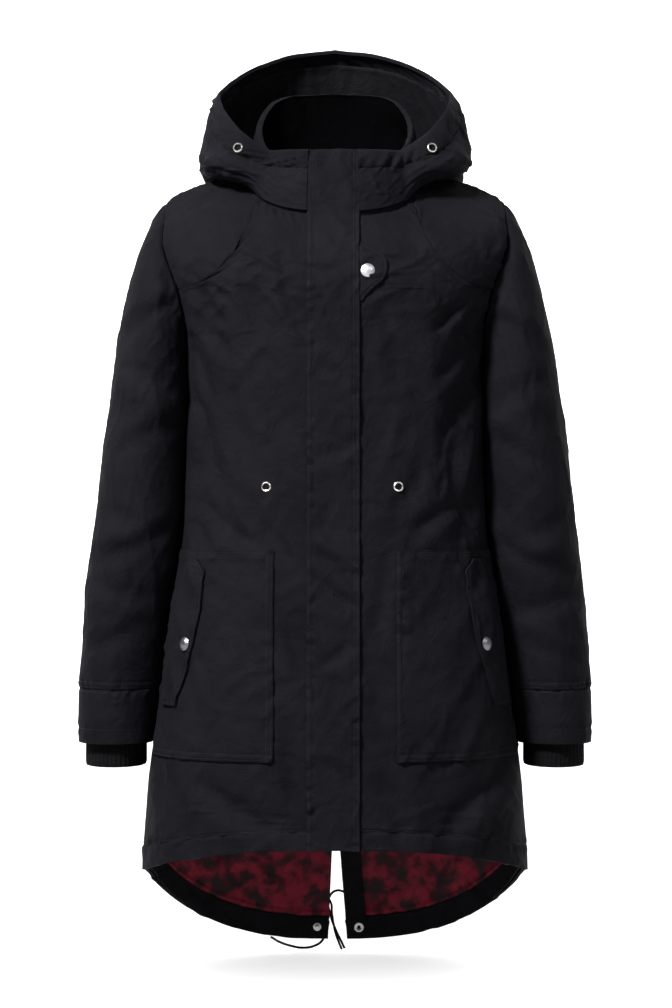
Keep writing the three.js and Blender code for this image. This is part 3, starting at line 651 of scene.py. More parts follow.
@dataclass(frozen=True)
class Cloth:
    """A woven or knitted cloth finish."""

    name: str
    base: tuple[float, float, float]
    lift: tuple[float, float, float]
    roughness: float
    sheen: float
    thread: float
    weave_depth: float
    grain: float
    shine: float
    crumple_depth: float = 0.0032
    fuzz_depth: float = 0.0006

    def make(self) -> bpy.types.Material:
        """Builds the material: two crossing threads, slubs, slow colour change and small wrinkles.

        Returns:
            The material.
        """
        material = bpy.data.materials.new(self.name)
        material.use_nodes = True
        nodes, links = material.node_tree.nodes, material.node_tree.links
        shader = nodes["Principled BSDF"]
        shader.inputs["Roughness"].default_value = self.roughness
        shader.inputs["Specular IOR Level"].default_value = self.shine
        shader.inputs["Sheen Weight"].default_value = self.sheen
        shader.inputs["Sheen Roughness"].default_value = 0.42
        shader.inputs["Sheen Tint"].default_value = (0.78, 0.8, 0.95, 1.0)
        place = nodes.new("ShaderNodeTexCoord")
        slubs = add_noise(material, place.outputs["Object"], 14.0, 6.0, 0.7)
        ramp = nodes.new("ShaderNodeValToRGB")
        ramp.color_ramp.elements[0].position = 0.32
        ramp.color_ramp.elements[0].color = (*self.base, 1.0)
        ramp.color_ramp.elements[1].position = 0.72
        ramp.color_ramp.elements[1].color = (*self.lift, 1.0)
        links.new(slubs.outputs["Fac"], ramp.inputs["Fac"])
        warp = self._threads(nodes, links, place, "X")
        weft = self._threads(nodes, links, place, "Y")
        cross = nodes.new("ShaderNodeMath")
        cross.operation = "ADD"
        links.new(warp, cross.inputs[0])
        links.new(weft, cross.inputs[1])
        tone = nodes.new("ShaderNodeMix")
        tone.data_type = "RGBA"
        tone.blend_type = "MULTIPLY"
        tone.inputs["Factor"].default_value = 0.3
        links.new(ramp.outputs["Color"], tone.inputs[6])
        links.new(cross.outputs["Value"], tone.inputs[7])
        links.new(tone.outputs[2], shader.inputs["Base Color"])
        grain = add_noise(material, place.outputs["Object"], 900.0, 3.0)
        crumple = add_noise(material, place.outputs["Object"], 46.0, 5.0, 0.6, 0.8)
        mottle = add_noise(material, place.outputs["Object"], 170.0, 4.0)
        normal = add_bump(material, cross.outputs["Value"], 0.55, self.weave_depth)
        normal = add_bump(material, grain.outputs["Fac"], 0.5, self.grain, normal)
        normal = add_bump(material, crumple.outputs["Fac"], 0.8, self.crumple_depth, normal)
        normal = add_bump(material, mottle.outputs["Fac"], 0.6, self.fuzz_depth, normal)
        links.new(normal, shader.inputs["Normal"])
        return material

    def _threads(
        self, nodes: bpy.types.Nodes, links: bpy.types.NodeLinks, place: bpy.types.Node, way: str
    ) -> bpy.types.NodeSocket:
        """One set of parallel threads on the piece's own UV map.

        Args:
            nodes: The material's nodes.
            links: Its links.
            place: The texture coordinates.
            way: X or Y.

        Returns:
            The socket with the threads' height.
        """
        wave = nodes.new("ShaderNodeTexWave")
        wave.wave_type = "BANDS"
        wave.bands_direction = way
        wave.inputs["Scale"].default_value = 0.314 / self.thread
        wave.inputs["Distortion"].default_value = 0.6
        wave.inputs["Detail Scale"].default_value = 1.5
        links.new(place.outputs["UV"], wave.inputs["Vector"])
        return wave.outputs["Fac"]


@dataclass(frozen=True)
class BlotchedLining:
    """The lining's generic blotches: a dark red ground with soft near-black patches."""

    name: str = "blotched_lining"

    def make(self) -> bpy.types.Material:
        """Builds the material.

        Returns:
            The material.
        """
        material = bpy.data.materials.new(self.name)
        material.use_nodes = True
        nodes, links = material.node_tree.nodes, material.node_tree.links
        shader = nodes["Principled BSDF"]
        shader.inputs["Roughness"].default_value = 0.6
        shader.inputs["Specular IOR Level"].default_value = 0.08
        place = nodes.new("ShaderNodeTexCoord")
        bend = add_noise(material, place.outputs["Object"], 30.0, 3.0)
        shift = nodes.new("ShaderNodeVectorMath")
        shift.operation = "MULTIPLY_ADD"
        shift.inputs[1].default_value = (0.014, 0.014, 0.014)
        links.new(bend.outputs["Color"], shift.inputs[0])
        links.new(place.outputs["Object"], shift.inputs[2])
        patches = add_noise(material, shift.outputs["Vector"], 62.0, 3.0)
        ramp = nodes.new("ShaderNodeValToRGB")
        ramp.color_ramp.interpolation = "EASE"
        stops = [
            (0.36, (0.011, 0.006, 0.007)),
            (0.45, (0.03, 0.0045, 0.0068)),
            (0.52, (0.075, 0.0052, 0.011)),
            (0.64, (0.12, 0.0065, 0.0155)),
        ]
        while len(ramp.color_ramp.elements) < len(stops):
            ramp.color_ramp.elements.new(0.5)
        for element, (position, colour) in zip(ramp.color_ramp.elements, stops):
            element.position = position
            element.color = (*colour, 1.0)
        links.new(patches.outputs["Fac"], ramp.inputs["Fac"])
        links.new(ramp.outputs["Color"], shader.inputs["Base Color"])
        links.new(add_bump(material, bend.outputs["Fac"], 0.4, 0.002), shader.inputs["Normal"])
        return material


@dataclass(frozen=True)
class Metal:
    """A plated metal fitting, or the near-black metal that paints shade into an eyelet's hole."""

    name: str
    colour: tuple[float, float, float]
    roughness: float

    def make(self) -> bpy.types.Material:
        """Builds the material with faint wear.

        Returns:
            The material.
        """
        material = bpy.data.materials.new(self.name)
        material.use_nodes = True
        nodes, links = material.node_tree.nodes, material.node_tree.links
        shader = nodes["Principled BSDF"]
        shader.inputs["Base Color"].default_value = (*self.colour, 1.0)
        shader.inputs["Metallic"].default_value = 1.0
        place = nodes.new("ShaderNodeTexCoord")
        wear = add_noise(material, place.outputs["Object"], 600.0, 4.0)
        spread = nodes.new("ShaderNodeMapRange")
        spread.inputs["To Min"].default_value = self.roughness * 0.7
        spread.inputs["To Max"].default_value = self.roughness * 1.5
        links.new(wear.outputs["Fac"], spread.inputs["Value"])
        links.new(spread.outputs["Result"], shader.inputs["Roughness"])
        return material


class Finishes:
    """All the coat's materials, made once."""

    def __init__(self) -> None:
        """Makes each material."""
        self.canvas = Cloth(
            "canvas", base=(0.0027, 0.0026, 0.0035), lift=(0.0047, 0.0045, 0.006),
            roughness=0.7, sheen=0.004, thread=0.0011, weave_depth=0.0002, grain=0.0003, shine=0.018,
        ).make()
        self.inner = Cloth(
            "inner_canvas", base=(0.0028, 0.0027, 0.0034), lift=(0.0043, 0.0042, 0.0052),
            roughness=0.7, sheen=0.005, thread=0.0009, weave_depth=0.0001, grain=0.0002, shine=0.03,
        ).make()
        # dark_lining is partly the lining's own dark cloth and partly painted shade: its near-black base is
        # set so the collar's inside and the gaps at the neck read as deep shadow.
        self.dark_lining = Cloth(
            "dark_lining", base=(0.0005, 0.0005, 0.0006), lift=(0.0009, 0.0009, 0.0011),
            roughness=0.85, sheen=0.0, thread=0.0006, weave_depth=0.00006, grain=0.0001, shine=0.0,
        ).make()
        self.knit = Cloth(
            "knit", base=(0.0022, 0.0022, 0.0025), lift=(0.004, 0.004, 0.0045),
            roughness=0.9, sheen=0.006, thread=0.0016, weave_depth=0.0004, grain=0.0004, shine=0.02,
        ).make()
        self.cord = Cloth(
            "cord", base=(0.006, 0.006, 0.0068), lift=(0.01, 0.01, 0.0115),
            roughness=0.85, sheen=0.006, thread=0.0009, weave_depth=0.0003, grain=0.0002, shine=0.03,
        ).make()
        self.lining = BlotchedLining().make()
        self.thread = Cloth(
            "thread", base=(0.0045, 0.0044, 0.0054), lift=(0.007, 0.0068, 0.0082),
            roughness=0.6, sheen=0.01, thread=0.0006, weave_depth=0.0001, grain=0.0001, shine=0.08,
        ).make()
        self.bright = Metal("bright_metal", (0.45, 0.45, 0.46), 0.4).make()
        self.dark = Metal("dark_metal", (0.16, 0.16, 0.175), 0.34).make()
        self.ring = Metal("ring_metal", (0.6, 0.58, 0.56), 0.25).make()
        # The eyelet hole finish is painted shade: near-black metal on the faces inside an eyelet's barrel, so
        # the hole reads as deep and shadowed.
        self.hole = Metal("eyelet_hole_painted_shade", (0.012, 0.008, 0.007), 0.7).make()


@dataclass(frozen=True)
class Edges:
    """Which sides of a sheet are sewn down: left, right, bottom, top."""

    left: bool = True
    right: bool = True
    bottom: bool = True
    top: bool = True


def grid_object(
    name: str, points: Array, joined: bool = False, outward: Array | None = None
) -> bpy.types.Object:
    """A sheet of faces through a grid of points, with its own UV map in metres.

    Args:
        name: The object's name.
        points: Rows by columns by 3, in millimetres.
        joined: True if the last column meets the first.
        outward: A normal for each point on the side that should show.

    Returns:
        The object, in metres.
    """
    rows, columns = points.shape[:2]
    bm = bmesh.new()
    bmesh.ops.create_grid(bm, x_segments=columns - 1, y_segments=rows - 1, size=0.5)
    bm.verts.ensure_lookup_table()
    places = np.array([v.co[:2] for v in bm.verts])
    i = np.rint((places[:, 0] + 0.5) * (columns - 1)).astype(int)
    j = np.rint((places[:, 1] + 0.5) * (rows - 1)).astype(int)
    moved = points[j, i] * MM
    across, up = arc(points, 1)[j, i] * MM, arc(points, 0)[j, i] * MM
    uv = bm.loops.layers.uv.new("UVMap")
    for face in bm.faces:
        for loop in face.loops:
            k = loop.vert.index
            loop[uv].uv = (across[k], up[k])
    for vert, co in zip(bm.verts, moved):
        vert.co = co
    if joined:
        bmesh.ops.remove_doubles(bm, verts=bm.verts, dist=1e-6)
    bm.normal_update()
    if outward is not None:
        wanted = outward[j, i]
        middle = len(moved) // 2 + columns // 3
        face = min(bm.faces, key=lambda f: (f.calc_center_median() - Vector(moved[middle])).length)
        if face.normal.dot(Vector(wanted[middle])) < 0:
            bmesh.ops.reverse_faces(bm, faces=bm.faces)
    mesh = bpy.data.meshes.new(name)
    bm.to_mesh(mesh)
    bm.free()
    for polygon in mesh.polygons:
        polygon.use_smooth = True
    return put_in_scene(name, mesh)


def thicken(made: bpy.types.Object, wall: float, inner_slot: int = 0, bevel: float = 0.0) -> None:
    """Gives a sheet its wall, inwards from the side that shows.

    Args:
        made: The sheet.
        wall: Its thickness in millimetres.
        inner_slot: The material slot of its inner side.
        bevel: How far its rim is rounded, in millimetres.
    """
    solid = made.modifiers.new("wall", "SOLIDIFY")
    solid.thickness = wall * MM
    solid.offset = -1.0
    solid.use_even_offset = False
    solid.material_offset = inner_slot
    solid.material_offset_rim = 0
    if bevel:
        round_off = made.modifiers.new("rounded_rim", "BEVEL")
        round_off.width = bevel * MM
        round_off.segments = 2
        round_off.limit_method = "ANGLE"
        round_off.angle_limit = math.radians(50)


@dataclass
class Tailor:
    finishes: Finishes
    thread: float = 0.36
    stitch: float = 2.5
    pitch: float = 3.5

    def settle(
        self, made: bpy.types.Object, nodes: list[str], slot: str, materials: list[bpy.types.Material]
    ) -> None:
        """Dresses a piece, hangs it on the body and lets it stand for its CAD nodes.

        Args:
            made: The piece.
            nodes: The nodes that it replaces.
            slot: The record's material slot; not used.
            materials: One for each slot of the mesh.
        """
        made.data.materials.clear()
        for material in materials:
            made.data.materials.append(material)
        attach(made, "root")
        if nodes:
            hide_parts(*nodes)
        LOG.info("%s: %d faces", made.name, len(getattr(made.data, "polygons", [])))

    def sew(self, name: str, lines: list[Array], trim: float = 3.0) -> None:
        """Rows of thread stitches along lines on the cloth.

        Args:
            name: The piece that they are sewn on.
            lines: Each row's points in millimetres.
            trim: How far a row stops short of the line's ends.
        """
        curve = bpy.data.curves.new(f"{name}_thread", "CURVE")
        curve.dimensions = "3D"
        curve.bevel_depth = self.thread * MM
        curve.bevel_resolution = 1
        curve.use_fill_caps = True
        for line in lines:
            run = np.concatenate([[0], np.cumsum(np.linalg.norm(np.diff(line, axis=0), axis=1))])
            starts = np.arange(trim, run[-1] - trim - self.pitch, self.pitch)
            for begin in starts:
                span = (begin, begin + self.stitch)
                ends = [[np.interp(at, run, line[:, k]) * MM for k in range(3)] for at in span]
                spline = curve.splines.new("POLY")
                spline.points.add(1)
                for knot, end in zip(spline.points, ends):
                    knot.co = (*end, 1.0)
        rows = put_in_scene(f"{name}_stitches", curve)
        bpy.context.view_layer.update()
        mesh = bpy.data.meshes.new_from_object(rows.evaluated_get(bpy.context.evaluated_depsgraph_get()))
        bpy.data.objects.remove(rows)
        bpy.data.curves.remove(curve)
        made = put_in_scene(f"{name}_stitches", mesh)
        for polygon in mesh.polygons:
            polygon.use_smooth = True
        self.settle(made, [], "canvas", [self.finishes.thread])

    def declare(self, made: bpy.types.Object, points: Array, held: str) -> None:
        """Logs the size of a sheet's cut and its area, measured along its grid.

        Args:
            made: The piece.
            points: Its grid in millimetres.
            held: How it is held; not used.
        """
        across, up = arc(points, 1)[:, -1], arc(points, 0)[-1, :]
        wide, tall = float(across.max()) * MM, float(up.max()) * MM
        a, b = np.diff(points[:-1], axis=1), np.diff(points[:, :-1], axis=0)
        area = float(np.linalg.norm(np.cross(a, b), axis=-1).sum()) * 1e-6
        area = min(max(area, 0.31 * wide * tall), wide * tall)
        LOG.info("sheet %s: %.0f x %.0f mm, %.4f m2", made.name, wide * 1000, tall * 1000, area)

    def body_piece(
        self,
        name: str,
        theta: Array,
        level: Array,
        side: Side,
        lift: float,
        wall: float,
        edges: Edges,
        nodes: list[str],
        materials: list[bpy.types.Material],
        slot: str = "canvas",
        gather: float = 0.55,
        roll: float = 1.5,
        bevel: float = 0.0,
        held: str = "hung",
        extra: Array | None = None,
        rows: tuple[tuple[str, float], ...] = (),
    ) -> Array:
        """A piece of cloth that lies on the body.

        Args:
            name: The piece's name.
            theta: Turn of each grid point on the +X side, or over the centre for a strip.
            level: Level of each grid point.
            side: Which side it is on.
            lift: Height of its outside above the body's surface.
            wall: Its thickness.
            edges: Which edges are sewn.
            nodes: The CAD nodes it replaces.
            materials: Outer and inner material.
            slot: The record's slot.
            gather: Height of the puckers beside its seams.
            roll: How deep its sewn edges turn in.
            bevel: Rounding of its rim.
            held: How the sheet is held.
            extra: More relief in millimetres.
            rows: Stitch rows, each an edge's name and the distance in from it.

        Returns:
            The finished grid, for stitches that follow it.
        """
        base = FORM.point(theta, level)
        normal = FORM.normal(theta, level)
        relief = body_relief(np.abs(theta), level, side)
        along, up = arc(base, 1), arc(base, 0)
        right, top = along[:, -1:] - along, up[-1:, :] - up
        seed = float(len(name)) + lift
        inwards = {"left": along, "right": right, "bottom": up, "top": top}
        if edges.right:
            relief = relief * (0.12 + 0.88 * smooth(1, 18, right))
        if name.startswith("yoke"):
            relief = relief * (0.12 + 0.88 * smooth(1, 18, up))
        beside_sleeve = 1 - 0.75 * (name.startswith(("front", "back_")) & (level < FORM.armpit_level + 4))
        for k, (word, run) in enumerate((("left", up), ("right", up), ("bottom", along), ("top", along))):
            if getattr(edges, word):
                share = beside_sleeve if word == "right" else 1.0
                relief = relief + share * gather * pucker(run, inwards[word], seed + 1.7 * k)
                relief = relief - share * roll * (1 - smooth(0, 3.2, inwards[word])) ** 1.5
        for word, place in rows:
            relief = relief - groove(inwards[word], place)
        if extra is not None:
            relief = relief + extra
        points = base + normal * (relief + lift)[..., None]
        points[..., 0] *= side.sign
        normal = normal * np.array([side.sign, 1, 1])
        made = grid_object(name, points, outward=normal)
        thicken(made, wall, 1 if len(materials) > 1 else 0, bevel)
        self.settle(made, nodes, slot, materials)
        self.declare(made, points, held)
        if rows:
            self.sew(name, [line_beside(points, word, place) for word, place in rows])
        return points


def spread_rows(us: Array, vs: Array) -> tuple[Array, Array]:
    """Two lists of shares as a grid, rows up and columns across."""
    return np.meshgrid(us, vs)


@dataclass
class Body:
    """The fronts, backs, yokes, hem bands and what lies inside the vent."""

    tailor: Tailor
    wall: float = 5.0
    yoke_start: float = 5 / 12
    lining_wall: float = 1.5
    lining_top: float = -696.0
    vent_levels: tuple[float, float] = (-933.0, -745.0)

    def build(self) -> None:
        """Builds the whole body."""
        for side in Side:
            self._front(side)
            self._yoke(side)
            self._back(side)
            self._bands(side)
            self._inside(side)
        self._vent_facing()

    def _front_edge(self, v: Array) -> tuple[Array, Array]:
        """The front's outer edge above the armpit: armhole, then yoke seam.

        Args:
            v: 0 at the armpit, 1 where the yoke starts, 2 at the neck.

        Returns:
            Theta and level.
        """
        theta_low, level_low = FORM.armhole(np.minimum(v, 1) * self.yoke_start, FORM.front_spread)
        start_theta, start_level = FORM.armhole(np.array(self.yoke_start), FORM.front_spread)
        share = np.clip(v - 1, 0, 1)
        level_high = mix(start_level, FORM.neck_level, share)
        theta_high = np.where(share < 1e-6, start_theta, YOKE_THETA(level_high))
        return np.where(v <= 1, theta_low, theta_high), np.where(v <= 1, level_low, level_high)

    def _front(self, side: Side) -> None:
        """One front, from the band's seam up to the neck.

        Args:
            side: Which side it is on.
        """
        us = shares(56, 270)
        low = shares(34, 135)
        zone_u, zone_v = spread_rows(us, low[:-1])
        theta_zone = 90 * zone_u
        level_zone = mix(FORM.band(theta_zone) - 0.6, FORM.zone_top, zone_v)
        plain = np.linspace(FORM.zone_top, FORM.armpit_level, 122)[:-1]
        theta_plain, level_plain = np.meshgrid(90 * us, plain)
        edge_v = np.concatenate([np.linspace(0, 1, 20)[:-1], 1 + shares(44, 200)])
        theta_end, level_end = self._front_edge(edge_v)
        theta_top = theta_end[:, None] * us[None, :]
        level_top = np.repeat(level_end[:, None], len(us), axis=1)
        theta = np.concatenate([theta_zone, theta_plain, theta_top])
        level = np.concatenate([level_zone, level_plain, level_top])
        finishes = self.tailor.finishes
        name = f"front_{side.word}"
        theta = np.clip(theta, 0.02, None)
        # The front's inner side takes dark_lining, whose near-black is partly painted shade in the gaps at
        # the neck.
        self.tailor.body_piece(
            f"{name}_cloth", theta, level, side, 0, self.wall, Edges(left=False), [name],
            [finishes.canvas, finishes.dark_lining], gather=1.0, roll=0.9, rows=(("bottom", 2.6),),
        )

    def _yoke(self, side: Side) -> None:
        """One front yoke, from its seam up to the shoulder seam.

        Args:
            side: Which side it is on.
        """
        us, vs = shares(34, 110), shares(34, 130)
        u, v = spread_rows(us, vs)
        arc_theta, arc_level = FORM.armhole(mix(self.yoke_start, 1.0, us), FORM.front_spread)
        low_theta, low_level = self._front_edge(1 + vs)
        high_level = mix(FORM.tip_level, FORM.neck_level, vs)
        neck_theta = float(YOKE_THETA(FORM.neck_level))
        corners = {
            "theta": (arc_theta, low_theta, np.full_like(vs, 90.0), (neck_theta, 90.0)),
            "level": (arc_level, low_level, high_level, (FORM.neck_level, FORM.neck_level)),
        }
        grids = {}
        for key, (edge, left, right, end) in corners.items():
            across = mix(left[:, None], right[:, None], u)
            along = mix(edge[None, :], mix(end[0], end[1], u), v)
            both = mix(mix(edge[0], edge[-1], u), mix(end[0], end[1], u), v)
            grids[key] = across + along - both
        finishes = self.tailor.finishes
        name = f"yoke_{side.word}"
        # The yoke's inner side takes dark_lining, whose near-black is partly painted shade in the gaps at the
        # neck.
        self.tailor.body_piece(
            f"{name}_cloth", grids["theta"], grids["level"], side, 0, self.wall, Edges(), [name],
            [finishes.canvas, finishes.dark_lining], gather=0.9, roll=0.9, rows=(("bottom", 2.2),),
        )

    def _back_columns(self, us: Array, level: Array, end: Array, side: Side) -> Array:
        """Turns across one back, from the vent or centre seam to its outer edge.

        Args:
            us: Shares across, 0 at the centre.
            level: Level of each place.
            end: Turn of the outer edge.
            side: Which side it is on.

        Returns:
            Theta of each place.
        """
        half = FORM.curves["half"](level)
        start = np.degrees(np.arcsin((SLIT[side.word](level) / half) ** (1 / ROUNDING)))
        return 180 - mix(start, 180 - end, us)

    def _back(self, side: Side) -> None:
        """One back, from the band's seam up to the neck.

        Args:
            side: Which side it is on.
        """
        us = shares(54, 250)
        vs = shares(44, 170)[:-1]
        u, v = spread_rows(us, vs)
        rough = 180 - 90 * u
        level_zone = mix(FORM.band(rough) - 0.6, FORM.zone_top, v)
        theta_zone = self._back_columns(u, level_zone, np.full_like(u, 90.0), side)
        plain = np.linspace(FORM.zone_top, FORM.armpit_level, 116)[:-1]
        u2, level_plain = np.meshgrid(us, plain)
        theta_plain = self._back_columns(u2, level_plain, np.full_like(u2, 90.0), side)
        end_theta, end_level = FORM.armhole(np.linspace(0, 1, 44)[:-1], FORM.back_spread)
        shoulder = mix(FORM.tip_level, FORM.neck_level, shares(22, 105))
        ends = np.concatenate([end_theta, np.full_like(shoulder, 90.0)])
        levels = np.concatenate([end_level, shoulder])
        u3, level_top = np.meshgrid(us, levels)
        theta_top = self._back_columns(u3, level_top, np.repeat(ends[:, None], len(us), axis=1), side)
        theta = np.concatenate([theta_zone, theta_plain, theta_top])
        level = np.concatenate([level_zone, level_plain, level_top])
        theta = np.clip(theta, None, 179.97)
        finishes = self.tailor.finishes
        name = f"back_{side.word}"
        self.tailor.body_piece(
            f"{name}_cloth", theta, level, side, 0, self.wall, Edges(), [name],
            [finishes.canvas, finishes.lining], gather=0.9, rows=(("bottom", 2.6), ("left", 2.6)),
        )

    def _bands(self, side: Side) -> None:
        """The front and back hem bands of one side.

        Args:
            side: Which side it is on.
        """
        finishes = self.tailor.finishes
        vs = shares(5, 24, NARROW_ROWS)
        for face, us in (("front", shares(60, 270)), ("back", shares(60, 290))):
            u, v = spread_rows(us, vs)
            rough = 90 * u if face == "front" else 180 - 90 * u
            level = mix(FORM.hem(rough), FORM.band(rough) + 0.4, v)
            if face == "front":
                theta = np.clip(rough, 0.02, None)
            else:
                theta = self._back_columns(u, level, np.full_like(u, 90.0), side)
            name = f"hem_band_{face}_{side.word}"
            self.tailor.body_piece(
                f"{name}_cloth", theta, level, side, 0.3, self.wall, Edges(left=False, bottom=False), [name],
                [finishes.canvas], gather=1.0, roll=1.4, bevel=1.9, held="folded",
            )

    def _inside(self, side: Side) -> None:
        """The lining and the facing that show behind the front hem.

        Args:
            side: Which side it is on.
        """
        finishes = self.tailor.finishes
        us, vs = shares(54, 250), shares(24, 150)
        u, v = spread_rows(us, vs)
        rough = 180 - 90 * u
        level = mix(FORM.band(rough) + 0.3, self.lining_top, v)
        theta = np.maximum(self._back_columns(u, level, np.full_like(u, 90.0), side), 90.3)
        name = f"back_lining_{side.word}"
        lift, turn = level - FORM.band(rough), np.radians(theta) * 200
        quilt = -1.6 * np.exp(-((np.abs((turn + lift * 0.9) % 64 - 32) / 2.2) ** 2))
        quilt -= 1.4 * np.exp(-(((lift - 9) / 2.0) ** 2))
        self.tailor.body_piece(
            f"{name}_cloth", theta, level, side, -self.wall - 0.6, self.lining_wall, Edges(left=False),
            [name], [finishes.lining], slot="blotched_lining", gather=0.9, roll=0.4,
            extra=np.minimum(quilt, 0.4),
        )
        vs = shares(5, 24, NARROW_ROWS)
        u, v = spread_rows(us, vs)
        rough = 180 - 90 * u
        level = mix(FORM.hem(rough) + 0.8, FORM.band(rough) + 5.0, v)
        theta = np.maximum(self._back_columns(u, level, np.full_like(u, 90.0), side), 90.3)
        name = f"back_facing_{side.word}"
        self.tailor.body_piece(
            f"{name}_cloth", theta, level, side, -self.wall - 2.5, self.lining_wall, Edges(left=False),
            [name], [finishes.inner], slot="dark_lining", gather=0.4, roll=0.0,
        )

    def _vent_facing(self) -> None:
        """The upright facing along the left edge of the vent."""
        us, vs = shares(6, 26), shares(40, 187)
        u, v = spread_rows(us, vs)
        level = mix(*self.vent_levels, v)
        reach = SLIT["left"](level) + mix(0.8, 26.0, u)
        theta = 180 - np.degrees(np.arcsin((reach / FORM.curves["half"](level)) ** (1 / ROUNDING)))
        self.tailor.body_piece(
            "vent_facing_cloth", theta, level, Side.LEFT, -self.wall - 4.4, self.lining_wall, Edges(),
            ["vent_facing"], [self.tailor.finishes.inner], slot="dark_lining", gather=0.4, roll=0.3,
        )


@dataclass
class Patches:
    """What is sewn on the fronts: placket, tab, pockets and pocket flaps."""

    tailor: Tailor
    neck: "Neck"
    wall: float = 3.0
    placket_edges: tuple[float, float] = (-32.6, 28.0)
    placket_lift: float = 3.7
    tab_levels: tuple[float, float] = (-161.0, -3.0)
    pocket_levels: tuple[float, float] = (-696.0, -455.0)
    pocket_edge: float = 70.0
    pocket_turn: float = 77.0
    flap_levels: tuple[float, float] = (-636.0, -466.0)

    def build(self) -> None:
        """Builds them all."""
        self._placket()
        self._tab()
        for side in Side:
            self._pocket(side)
            self._flap(side)

    def _placket(self) -> None:
        """The long strip over the closure, from the hem to the top of the collar."""
        us = shares(14, 61)
        reach = mix(*self.placket_edges, us)
        hem_v = shares(10, 55)[:-1]
        x1, v1 = np.meshgrid(reach, hem_v)
        theta1 = FORM.theta_at(x1, np.full_like(x1, -800.0))
        level1 = mix(FORM.hem(theta1), FORM.zone_top, v1)
        long_part = np.linspace(FORM.zone_top, FORM.armpit_level, 126)[:-1]
        chest_part = np.linspace(FORM.armpit_level, 58, 52)
        x2, level2 = np.meshgrid(reach, np.concatenate([long_part, chest_part]))
        theta2 = FORM.theta_at(x2, level2)
        theta, level = np.concatenate([theta1, theta2]), np.concatenate([level1, level2])
        low = FORM.point(theta, level) + FORM.normal(theta, level) * self.placket_lift
        rises = np.array([0.06, 0.1, 0.15, 0.2, 0.27, 0.35, 0.44, 0.53, 0.62, 0.71, 0.8, 0.88, 0.95, 1.0])
        x3, rise = np.meshgrid(reach, rises)
        half = mix(100, self.neck.collar_half, rise)
        theta3 = np.sign(x3) * np.degrees(np.arcsin((np.abs(x3) / half) ** (1 / ROUNDING)))
        high = self.neck.collar(theta3, rise) + self.neck.collar_normal(theta3, rise) * self.placket_lift
        points = np.concatenate([low, high])
        normal = surface_normals(points)
        along, up = arc(points, 1), arc(points, 0)
        x, z = points[..., 0], points[..., 2]
        folds = (
            Crease(-30, -452, 22, -492, 2.0, 7, 3),
            Crease(-28, -480, 24, -520, 1.8, 7, -3),
            Crease(24, -556, -24, -590, 1.6, 7, 3),
            Crease(-30, -240, 20, -262, 1.0, 8, 2),
            Crease(26, -330, -26, -352, 1.1, 8, -2),
            Crease(-26, -690, 20, -722, 1.3, 8, 3),
            Crease(24, -120, -26, -136, 0.9, 7, 2),
        )
        relief = crease_relief(x, z, folds) * 1.9 + 1.0 * drift(x, z, 60, 3.3) + 1.1 * rumple(x * 1.2, z, 7.7)
        relief += 0.9 * wrinkles(x, z, 80, 5.0, 2.6, 6.0)
        relief += 1.2 * pucker(up, along, 2.0, 13) + 1.0 * pucker(up, along[:, -1:] - along, 5.0, 12)
        relief -= 1.1 * (1 - smooth(0, 3.4, along)) ** 1.5
        rows = (("left", 2.2), ("left", 8.2), ("right", 3.0), ("right", 6.8))
        for word, place in rows:
            relief -= groove(along if word == "left" else along[:, -1:] - along, place)
        points = points + normal * relief[..., None]
        made = grid_object("placket_cloth", points, outward=normal)
        thicken(made, self.wall, 0, 0.9)
        self.tailor.settle(made, ["placket"], "canvas", [self.tailor.finishes.canvas])
        self.tailor.declare(made, points, "hung")
        self.tailor.sew("placket", [line_beside(points, word, place) for word, place in rows])

    def _tab(self) -> None:
        """The small shaped tab beside the top of the placket."""
        reach = SoftCurve([-161, -136, -112, -82, -56, -35, -19, -3], [31.5, 43, 54.5, 60, 59, 52, 38, 31.5])
        us, vs = shares(12, 30), shares(26, 70)
        u, v = spread_rows(us, vs)
        level = mix(*self.tab_levels, v)
        x = mix(28.3, reach(level), u)
        theta = FORM.theta_at(x, level)
        self.tailor.body_piece(
            "placket_tab_cloth", theta, level, Side.LEFT, 3.8, self.wall, Edges(bottom=False, top=False),
            ["placket_tab"], [self.tailor.finishes.canvas], gather=0.3, roll=0.7, bevel=0.9,
            rows=(("right", 2.6),),
        )

    def _pocket(self, side: Side) -> None:
        """One patch pocket.

        Args:
            side: Which side it is on.
        """
        us, vs = shares(42, 190), shares(54, 240)
        u, v = spread_rows(us, vs)
        level = mix(*self.pocket_levels, v)
        theta = mix(FORM.theta_at(np.full_like(level, self.pocket_edge), level), self.pocket_turn, u)
        height = self.pocket_levels[1] - self.pocket_levels[0]
        low = 1.2 * np.exp(-(((v * height - 26) / 16) ** 2)) * np.sin(np.pi * u)
        low = low * drift(u * 190, v * height, 40, 2.0)
        mouth = -0.9 * np.exp(-((((1 - v) * height - 14) / 1.8) ** 2))
        name = f"pocket_{side.word}"
        self.tailor.body_piece(
            f"{name}_cloth", theta, level, side, 3.9, self.wall, Edges(top=False), [name],
            [self.tailor.finishes.canvas], gather=0.9, roll=1.7, bevel=0.8, extra=low + mouth,
            rows=(
                ("left", 2.4), ("left", 8.6), ("bottom", 2.4), ("bottom", 8.6),
                ("right", 2.4), ("top", 3.0), ("top", 6.6),
            ),
        )

